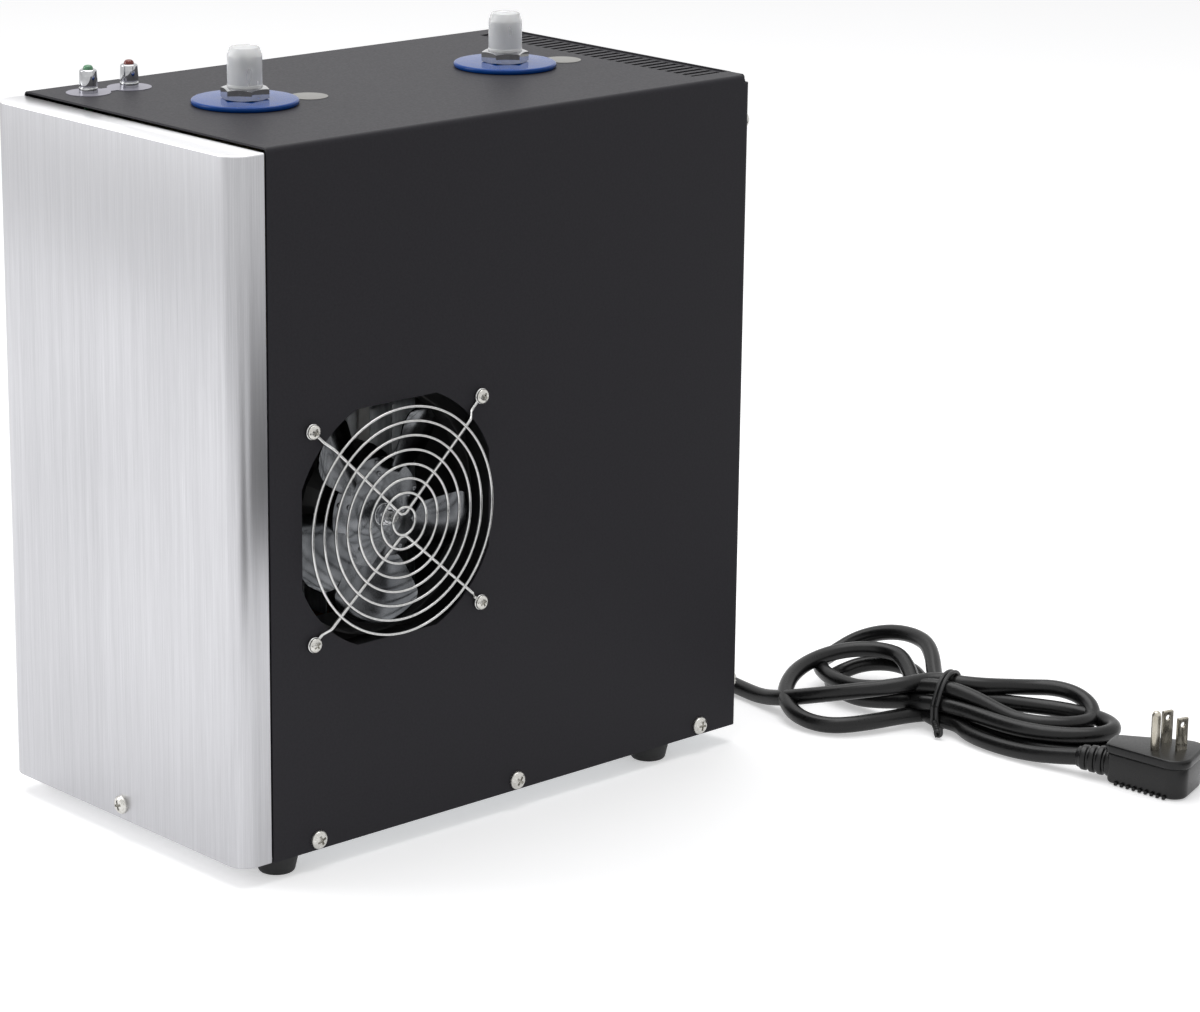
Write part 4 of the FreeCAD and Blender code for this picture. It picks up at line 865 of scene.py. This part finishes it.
def plug_blades():
    """Two flat blades with their holes, and a round earth pin."""
    pins = []
    x = EARTH_AHEAD / 2
    root = PLUG_H - PIN_ROOT
    for side in (-1, 1):
        y = side * PIN_SPACING / 2
        flat = block(x - PIN_W / 2, x + PIN_W / 2, y - PIN_T / 2, y + PIN_T / 2, root, PLUG_H + PIN_L)
        softened(flat, 1.1, 2, lambda e: min(v.co.z for v in e.verts) > PLUG_H + PIN_L - 0.5)
        hole = spun([(0, -2), (PIN_HOLE_R, -2), (PIN_HOLE_R, 2), (0, 2)], 24)
        pins.append(carved(flat, placed(hole, (x, y, PLUG_H + PIN_HOLE_UP), (0, 1, 0))))
    tip = PLUG_H + EARTH_L
    earth = [(0, root), (EARTH_R, root), (EARTH_R, tip - 2.2), (EARTH_R - 0.7, tip - 0.6), (0, tip)]
    pins.append(placed(spun(rounded(earth, 0.8), 28), (-x, 0, 0)))
    group = joined(pins)
    turn = Matrix.Rotation(math.radians(PINS_TURN + 90 - PLUG_TURN), 4, "Z")
    move = Matrix.Translation((PLUG_RELIEF_L + PLUG_TO_PINS, 0, 0))
    bmesh.ops.transform(group, matrix=move @ turn, verts=group.verts)
    return at_plug(group)


def make_cord():
    route = cord_route()
    line = centre_line(route)
    lead = spline_of("power_lead", route, CORD_D / 2, 5)
    lead.data.materials.append(pvc_jacket)
    on_body(lead, nodes=("power_cord", "cord_tail", "cord_hank"))
    relief = piece("strain_relief", strain_relief(line), moulded_rubber)
    tie = piece("twisted_tie", tie_wires(), tie_pvc, nodes=("cord_tie",))
    body = piece("plug_moulding", plug_body(), pvc_jacket, nodes=("plug",))
    pins = piece("plug_blades", plug_blades(), plated_brass, nodes=("plug_pins",))


# Case

def front_tray():
    """The folded panel: front, rounded upright edges, and the flanges turned back above and below."""
    shape = block(PANEL_LOW.x, PANEL_HIGH.x, PANEL_LOW.y, PANEL_HIGH.y - JOINT, PANEL_LOW.z, PANEL_HIGH.z)
    back = [f for f in shape.faces if f.normal.y > 0.5]
    bmesh.ops.delete(shape, geom=back, context="FACES")
    softened(shape, FRONT_R, 14, lambda e: all(v.co.y < FRONT + 1 for v in e.verts)
             and abs((e.verts[0].co - e.verts[1].co).z) > 1)
    shape.normal_update()
    softened(shape, FOLD_R, 3, lambda e: abs((e.verts[0].co - e.verts[1].co).z) < 1)
    return shape


def make_front():
    tray = piece("steel_front", front_tray(), brushed_front, nodes=("front_panel",))
    wall = tray.modifiers.new("sheet", "SOLIDIFY")
    wall.thickness = SHEET * MM
    wall.offset = -1
    wall.use_even_offset = True
    lips = []
    for side in (-1, 1):
        x = side * (RIGHT - SHEET)
        lips.append(softened(block(
            x, x - side * LIP_W, PANEL_HIGH.y - JOINT - SHEET, PANEL_HIGH.y - JOINT, PANEL_LOW.z + LIP_RELIEF,
            PANEL_HIGH.z - LIP_RELIEF,
        ), 0.2, 1))
    piece("steel_lips", joined(lips), brushed_stainless)


def screw_head(radius, height):
    """A domed pan head with its cross recess, on a seat at z = 0."""
    dome = [(0, -0.4), (radius * 0.96, -0.4), (radius, 0.5), (radius * 0.93, height * 0.55),
            (radius * 0.7, height * 0.86), (radius * 0.35, height * 0.98), (0, height)]
    head = spun(rounded(dome, radius * 0.16, 3), 40)
    arm = radius * 0.52
    width = radius * 0.13
    deep = height * 0.3
    floor = height * 0.42
    above = height * 2
    core = spun([(0, deep), (radius * 0.12, deep), (radius * 0.3, above), (0, above)], 16)
    for tool in (
        block(-arm, arm, -width, width, floor, above), block(-width, width, -arm, arm, floor, above), core,
    ):
        head = carved(head, tool)
    return head


def make_screws():
    head = screw_head(SCREW_R, SCREW_H)
    places = [((0, FRONT, FRONT_SCREW_Z), (0, -1, 0))]
    for side in (-1, 1):
        for i in range(3):
            y = FRONT + SIDE_SCREW_FROM_FRONT + i * SIDE_SCREW_PITCH
            places.append(((side * RIGHT, y, SIDE_SCREW_Z), (side, 0, 0)))
        for z in (CASE_LOW.z + REAR_SCREW_Z, TOP - REAR_SCREW_Z):
            places.append(((side * (RIGHT - REAR_SCREW_IN), REAR, z), (0, 1, 0)))
    heads = []
    for i, (at, way) in enumerate(places):
        heads.append(placed(head.copy(), at, way, RECESS_FIRST + RECESS_TURN * i))
    head.free()
    piece("case_screw_heads", joined(heads), nickel_plate, nodes=("case_screws",))


def make_feet():
    profile = [
        (0, FOOT_BORE_TOP), (FOOT_BORE_R, FOOT_BORE_TOP), (FOOT_BORE_R, 0.4), (FOOT_BOTTOM_R - 0.8, 0),
        (FOOT_BOTTOM_R, 0.9), (FOOT_TOP_R - 0.3, FOOT_TAPER_TOP), (FOOT_TOP_R, FOOT_H), (0, FOOT_H),
    ]
    one = spun(rounded(profile, 0.8), 48)
    low, high = box_mm("feet")
    feet = [
        placed(one.copy(), (x, y, 0))
        for x in (low.x + FOOT_TOP_R, high.x - FOOT_TOP_R) for y in (low.y + FOOT_TOP_R, high.y - FOOT_TOP_R)
    ]
    one.free()
    piece("rubber_feet", joined(feet), moulded_rubber, nodes=("feet",))


# Fan

def guard_ring(radius):
    ring = bmesh.new()
    turn = Matrix.Rotation(math.pi / 2, 4, "X")
    made = bmesh.ops.create_circle(
        ring, segments=12, radius=RING_WIRE / 2, matrix=Matrix.Translation((radius, 0, 0)) @ turn,
    )
    steps = 48 + int(radius)
    bmesh.ops.spin(
        ring, geom=ring.verts[:] + ring.edges[:], axis=UP, cent=(0, 0, 0), angle=math.tau, steps=steps,
        use_merge=True,
    )
    return placed(cleaned(ring), (RIGHT + GUARD_STAND + RING_WIRE / 2, FAN.y, FAN.z), OUTWARD)


def guard_leg(way, bend):
    """One bent wire from eyelet to eyelet; it kinks down to the sheet outside the last ring."""
    outer = RING_FIRST_R + (RINGS - 1) * RING_STEP
    length = math.hypot(EYELET_HALF, EYELET_HALF - bend)
    high = RIGHT + GUARD_STAND
    low = RIGHT + LEG_WIRE / 2

    def at(x, side, reach):
        share = reach / length
        return (x, FAN.y + side * share * EYELET_HALF, FAN.z + way * (bend + share * (EYELET_HALF - bend)))

    half = [
        (low, length), (low, outer + LEG_DOWN_PAST_RING), (high, outer + LEG_UP_PAST_RING), (high, LEG_FLAT),
    ]
    route = [at(x, -1, reach) for x, reach in half] + [at(x, 1, reach) for x, reach in reversed(half)]
    return wire(eased(route, LEG_EASE), LEG_WIRE / 2, 4)


def make_guard():
    parts = [guard_ring(RING_FIRST_R + i * RING_STEP) for i in range(RINGS)]
    parts += [guard_leg(1, LEG_BEND_ABOVE), guard_leg(-1, LEG_BEND_BELOW)]
    heads = []
    head = screw_head(GUARD_SCREW_R, GUARD_SCREW_H)
    for sy in (-1, 1):
        for sz in (-1, 1):
            at = (RIGHT, FAN.y + sy * EYELET_HALF, FAN.z + sz * EYELET_HALF)
            pad = [(0, 0), (EYELET_R, 0), (EYELET_R, LEG_WIRE), (0, LEG_WIRE)]
            parts.append(placed(spun(rounded(pad, PAD_ROUND), 40), at, OUTWARD))
            seat = (RIGHT + LEG_WIRE, at[1], at[2])
            heads.append(placed(head.copy(), seat, OUTWARD, 40 * sy + 15 * sz))
    head.free()
    piece("wire_guard", joined(parts), chrome_wire, nodes=("fan_guard", "guard_feet"))
    piece("guard_screw_heads", joined(heads), nickel_plate, nodes=("guard_screws",))


def blade():
    """A thin pressed blade along +X: wider outwards, its corners round, cambered, and twisted to its tip."""
    shape = bmesh.new()
    bmesh.ops.create_grid(shape, x_segments=26, y_segments=20, size=1)
    for vert in shape.verts:
        out = (vert.co.x + 1) / 2
        across = vert.co.y
        half = BLADE_ROOT_HALF + (BLADE_HALF - BLADE_ROOT_HALF) * min(1, out * 1.5) ** 0.8
        rounding = max(0.0, (out - BLADE_ROUND_FROM) / (1 - BLADE_ROUND_FROM))
        half *= math.sqrt(max(0.0, 1 - BLADE_ROUND_BY * rounding ** 3))
        tip = BLADE_TIP_R - BLADE_TIP_ARC * across ** 4
        x = BLADE_ROOT_R + (tip - BLADE_ROOT_R) * out
        y = half * across
        lift = BLADE_CAMBER * (1 - across * across) * (0.4 + 0.6 * out)
        pitch = math.radians(BLADE_PITCH + BLADE_TWIST * (1 - out))
        cosine = math.cos(pitch)
        sine = math.sin(pitch)
        vert.co = Vector((x, y * cosine - lift * sine, y * sine + lift * cosine))
    bmesh.ops.solidify(shape, geom=shape.faces[:], thickness=BLADE_THICK)
    return cleaned(shape)


def make_fan():
    blades = []
    one = blade()
    for i in range(BLADES):
        blades.append(placed(one.copy(), (0, 0, 0), UP, i * 360 / BLADES + BLADE_FIRST))
    one.free()
    hub = [
        (HUB_BORE, HUB_DISH), (HUB_FACE_R, HUB_DISH), (15.0, HUB_DISH - 1.4), (24.0, 0.9), (HUB_R, 0),
        (HUB_R, -HUB_SHEET), (23.5, -0.4), (14.5, HUB_DISH - 2.6), (HUB_FACE_R - 0.5, HUB_DISH - HUB_SHEET),
        (HUB_BORE, HUB_DISH - HUB_SHEET),
    ]
    rivets = []
    for i in range(BLADES):
        angle = math.radians(i * 360 / BLADES + BLADE_FIRST)
        for reach, drop in RIVETS:
            dome = spun(rounded([(0, -0.6), (RIVET_R, -0.6), (RIVET_R - 0.1, 0.5), (0, 0.9)], 0.4), 16)
            rivets.append(placed(dome, (reach * math.cos(angle), reach * math.sin(angle), drop)))
    whole = joined([spun(hub, 72, closed=True)] + blades + rivets)
    placed(whole, (BLADE_X, FAN.y, FAN.z), OUTWARD)
    # The blades carry aluminium darkened as painted shade
    piece("fan_impeller", whole, aluminium_with_painted_shade, "fan", ("fan_blades",))
    nut = placed(hex_nut(FAN_NUT_AF, FAN_NUT_H, FAN_NUT_BORE), (0, 0, WASHER_H), UP, FAN_NUT_TURN)
    ring = [(HUB_BORE, 0), (WASHER_R, 0), (WASHER_R, WASHER_H), (HUB_BORE, WASHER_H)]
    washer = spun(rounded(ring, 0.3), 32, closed=True)
    fixing = placed(joined([nut, washer]), (BLADE_X + HUB_DISH, FAN.y, FAN.z), OUTWARD)
    piece("shaft_nut_round", fixing, bright_chrome, "fan", ("shaft_nut",))


# Top

def hex_nut(flats, height, bore):
    """A hexagon nut whose corners are turned off at both ends, with its bore."""
    nut = bmesh.new()
    wide = flats / math.sqrt(3)
    bmesh.ops.create_cone(
        nut, cap_ends=True, segments=6, radius1=wide, radius2=wide, depth=height,
        matrix=Matrix.Translation((0, 0, height / 2)),
    )
    turned = spun([
        (0, 0), (flats / 2 * 0.96, 0), (wide * 1.02, 0.13 * height), (wide * 1.02, 0.83 * height),
        (flats / 2 * 0.93, height), (0, height),
    ], 96)
    nut = carved(nut, turned, "INTERSECT")
    return carved(nut, spun([(0, -1), (bore, -1), (bore, height + 1), (0, height + 1)], 40))


def threaded_stub(top):
    """The tail with its thread, a shoulder under the sheet, and its bore."""
    low = box_mm("port_stubs")[0].z
    seat = TOP - SHEET
    profile = [
        (STUB_BORE, low), (STUB_R, low), (STUB_R, seat - SHOULDER_H), (SHOULDER_R, seat - SHOULDER_H),
        (SHOULDER_R, seat), (STUB_R, seat),
    ]
    root = STUB_R - THREAD_DEPTH
    start = TOP + DISC_H
    turns = int((top - start) / THREAD_PITCH)
    for i in range(turns):
        z = start + i * THREAD_PITCH
        profile += [(root, z + 0.25), (root, z + 0.5), (STUB_R, z + 1.0), (STUB_R, z + 1.4)]
    profile += [(STUB_R - 0.7, top), (STUB_BORE, top)]
    return spun(profile, 56, closed=True)


def make_ports():
    stubs = []
    nuts = []
    caps = []
    for node, turn in zip(("inlet_disc", "outlet_disc"), NUT_TURNS):
        low, high = box_mm(node)
        x = (low.x + high.x) / 2
        y = (low.y + high.y) / 2
        hole = STUB_R + NUT_CLEAR
        profile = [(hole, 0), (DISC_R, 0), (DISC_R, DISC_H), (hole, DISC_H)]
        disc = placed(spun(rounded(profile, 1.3, 6), 112, closed=True), (x, y, TOP))
        piece(node + "_glossy", disc, glossy_abs, nodes=(node,))
        nuts.append(placed(hex_nut(HEX_AF, HEX_H, hole), (x, y, TOP + DISC_H), UP, turn))
        stubs.append(placed(threaded_stub(box_mm("port_stubs")[1].z), (x, y, 0)))
        bore = CAP_R - CAP_WALL
        cap = [
            (bore, 0), (CAP_R + CAP_LIP, 0), (CAP_R + CAP_LIP, 1.2), (CAP_R, 1.6),
            (CAP_R, CAP_H - CAP_TAPER_H),
            (CAP_TIP_R + 0.1, CAP_H - 0.3), (CAP_TIP_R - 0.6, CAP_H), (0, CAP_H), (0, CAP_H - CAP_END),
            (CAP_TIP_R - CAP_END, CAP_H - CAP_END), (bore, CAP_H - CAP_TAPER_H - 0.4),
        ]
        caps.append(placed(spun(rounded(cap + [cap[0]], 0.4, 3), 72), (x, y, TOP + DISC_H + HEX_H)))
        sticker = spun(rounded([(0, 0), (STICKER_R, 0), (STICKER_R, PLATE_T), (0, PLATE_T)], 0.08, 2), 64)
        placed(sticker, (x + STICKER_AT[0], y + STICKER_AT[1], TOP))
        name = "rear_sticker" if y > 0 else "front_sticker"
        piece(name, sticker, sticker_paper)
    piece("port_tails", joined(stubs), ground_steel, nodes=("port_stubs",))
    piece("port_hex_nuts", joined(nuts), bright_chrome, nodes=("port_nuts",))
    piece("milky_caps", joined(caps), natural_polyethylene, nodes=("thread_caps",))


def make_lamps():
    holders = []
    centres = []
    lamps = (("green_lamp", green_acrylic, "green_lens"), ("red_lamp", red_acrylic, "red_lens"))
    for node, material, slot in lamps:
        low, high = box_mm(node)
        x = (low.x + high.x) / 2
        y = (low.y + high.y) / 2
        centres.append((x, y))
        sleeve = [
            (HOLDER_BORE, 0), (HOLDER_R, 0), (HOLDER_R, 2.6), (HOLDER_R - HOLDER_WAIST, 2.9),
            (HOLDER_R - HOLDER_WAIST, 3.3), (HOLDER_R, 3.6), (HOLDER_TOP_R + 0.1, HOLDER_H - 0.6),
            (HOLDER_TOP_R - 0.5, HOLDER_H), (LENS_R + 0.3, HOLDER_H), (LENS_R + 0.1, HOLDER_H - 1.2),
            (HOLDER_BORE, HOLDER_H - 1.4),
        ]
        holders.append(placed(spun(rounded(sleeve, 0.25, 3), 56, closed=True), (x, y, TOP)))
        lens = [
            (0, LENS_STEM_LOW), (LENS_STEM_R, LENS_STEM_LOW), (LENS_STEM_R, HOLDER_H), (LENS_R, HOLDER_H),
            (LENS_R * 0.9, HOLDER_H + 0.55 * LENS_H), (LENS_R * 0.6, HOLDER_H + 0.88 * LENS_H),
            (0, HOLDER_H + LENS_H),
        ]
        dome = placed(spun(rounded(lens, 0.5), 40), (x, y, TOP))
        piece(node + "_lens", dome, material, nodes=(node,))
    piece("lamp_sleeves", joined(holders), bright_chrome, nodes=("lamp_holders",))
    (x, y0), (x, y1) = centres
    bar = block(x - LABEL_WAIST / 2, x + LABEL_WAIST / 2, y0, y1, TOP, TOP + PLATE_T)
    disc = [(0, 0), (LABEL_R, 0), (LABEL_R, PLATE_T), (0, PLATE_T)]
    plate = carved(bar, placed(spun(disc, 64), (x, y0, TOP)), "UNION")
    plate = carved(plate, placed(spun(disc, 64), (x, y1, TOP)), "UNION")
    piece("bare_label", plate, label_foil)


def make_bush():
    low, high = box_mm("cord_bush")
    x = (low.x + high.x) / 2
    z = (low.z + high.z) / 2
    length = high.y - low.y
    start, end = BUSH_COLLAR
    profile = [
        (0, 0), (BUSH_R, 0), (BUSH_R, start), (BUSH_COLLAR_R, start), (BUSH_COLLAR_R, end),
        (BUSH_R + 0.4, length - 0.3), (BUSH_R, length), (0, length),
    ]
    bush = placed(spun(rounded(profile, 0.5, 3), 48), (x, low.y, z), (0, 1, 0))
    piece("cord_bushing", bush, moulded_nylon, nodes=("cord_bush",))


# Studio

def make_floor():
    """A sheet of white paper, which the camera and polished metal see a little brighter than it is."""
    ground = bmesh.new()
    bmesh.ops.create_grid(ground, x_segments=1, y_segments=1, size=FLOOR_SIZE)
    floor = bpy.data.objects.new("floor", as_mesh(ground, "floor"))
    bpy.context.scene.collection.objects.link(floor)
    material, tree, place = blank("white_paper_sweep")
    path = add(tree, "LightPath").outputs
    seen = add(tree, "Math", {
        0: path["Is Camera Ray"], 1: path["Is Glossy Ray"],
    }, operation="ADD", use_clamp=True)
    grain = add(tree, "TexNoise", {"Vector": place, "Scale": PAPER_GRAIN, "Detail": 2.0})
    tone = add(tree, "Mix", {
        "Factor": grain.outputs["Fac"], 6: linear("#EFEFF0"), 7: linear("#F3F3F4"),
    }, data_type="RGBA")
    paper = add(tree, "BsdfDiffuse", {"Color": tone.outputs[2]})
    glow = add(tree, "Emission", {"Color": linear("#FFFFFF"), "Strength": FLOOR_LIFT})
    lifted = add(tree, "AddShader", {0: paper.outputs[0], 1: glow.outputs[0]})
    mixed = add(tree, "MixShader", {0: seen.outputs[0], 1: paper.outputs[0], 2: lifted.outputs[0]})
    add(tree, "OutputMaterial", {"Surface": mixed.outputs[0]})
    floor.data.materials.append(material)


def dark_card(name, heading, near, far, width):
    """A black card on the floor, outward from the front right edge; only reflections show it."""
    sheet = bmesh.new()
    bmesh.ops.create_grid(sheet, x_segments=1, y_segments=1, size=0.5)
    bmesh.ops.scale(sheet, vec=(far - near, width, 1), verts=sheet.verts)
    turn = Matrix.Rotation(math.radians(heading), 4, "Z")
    start = Matrix.Translation((RIGHT * MM, FRONT * MM, CARD_LIFT))
    out = Matrix.Translation(((near + far) / 2, 0, 0))
    bmesh.ops.transform(sheet, matrix=start @ turn @ out, verts=sheet.verts)
    card = bpy.data.objects.new(name, as_mesh(sheet, name))
    bpy.context.scene.collection.objects.link(card)
    card.data.materials.append(black_felt)
    card.visible_camera = False
    card.visible_diffuse = False
    card.visible_transmission = False
    card.visible_shadow = False


def make_world():
    """A white room, which lights the object less than it shows white."""
    world = bpy.data.worlds.new("studio")
    world.use_nodes = True
    tree = world.node_tree
    tree.nodes.clear()
    path = add(tree, "LightPath").outputs
    seen = add(tree, "Math", {0: path["Is Camera Ray"], 1: path["Is Glossy Ray"]}, operation="ADD")
    seen = add(tree, "Math", {
        0: seen.outputs[0], 1: path["Is Transmission Ray"],
    }, operation="ADD", use_clamp=True)
    dim = add(tree, "Background", {"Color": linear("#FFFFFF"), "Strength": WORLD_FILL})
    white = add(tree, "Background", {"Color": linear("#FFFFFF"), "Strength": 1.0})
    mixed = add(tree, "MixShader", {0: seen.outputs[0], 1: dim.outputs[0], 2: white.outputs[0]})
    add(tree, "OutputWorld", {"Surface": mixed.outputs[0]})
    bpy.context.scene.world = world


def soft_box(name, at, aim, size, power):
    data = bpy.data.lights.new(name, "AREA")
    data.shape = "RECTANGLE"
    data.size, data.size_y = size
    data.energy = power
    lamp = bpy.data.objects.new(name, data)
    turn = (Vector(aim) - Vector(at)).to_track_quat("-Z", "Y").to_matrix().to_4x4()
    lamp.matrix_world = Matrix.Translation(at) @ turn
    bpy.context.scene.collection.objects.link(lamp)


place_camera()
make_cord()
make_front()
make_screws()
make_feet()
make_guard()
make_fan()
make_ports()
make_lamps()
make_bush()
dress_carried()
make_floor()
make_world()
for card_name, card_places in CARDS.items():
    dark_card(card_name, *card_places)
for box_name, box_places in SOFT_BOXES.items():
    soft_box(box_name, *box_places)

bpy.context.scene.view_settings.view_transform = "Standard"
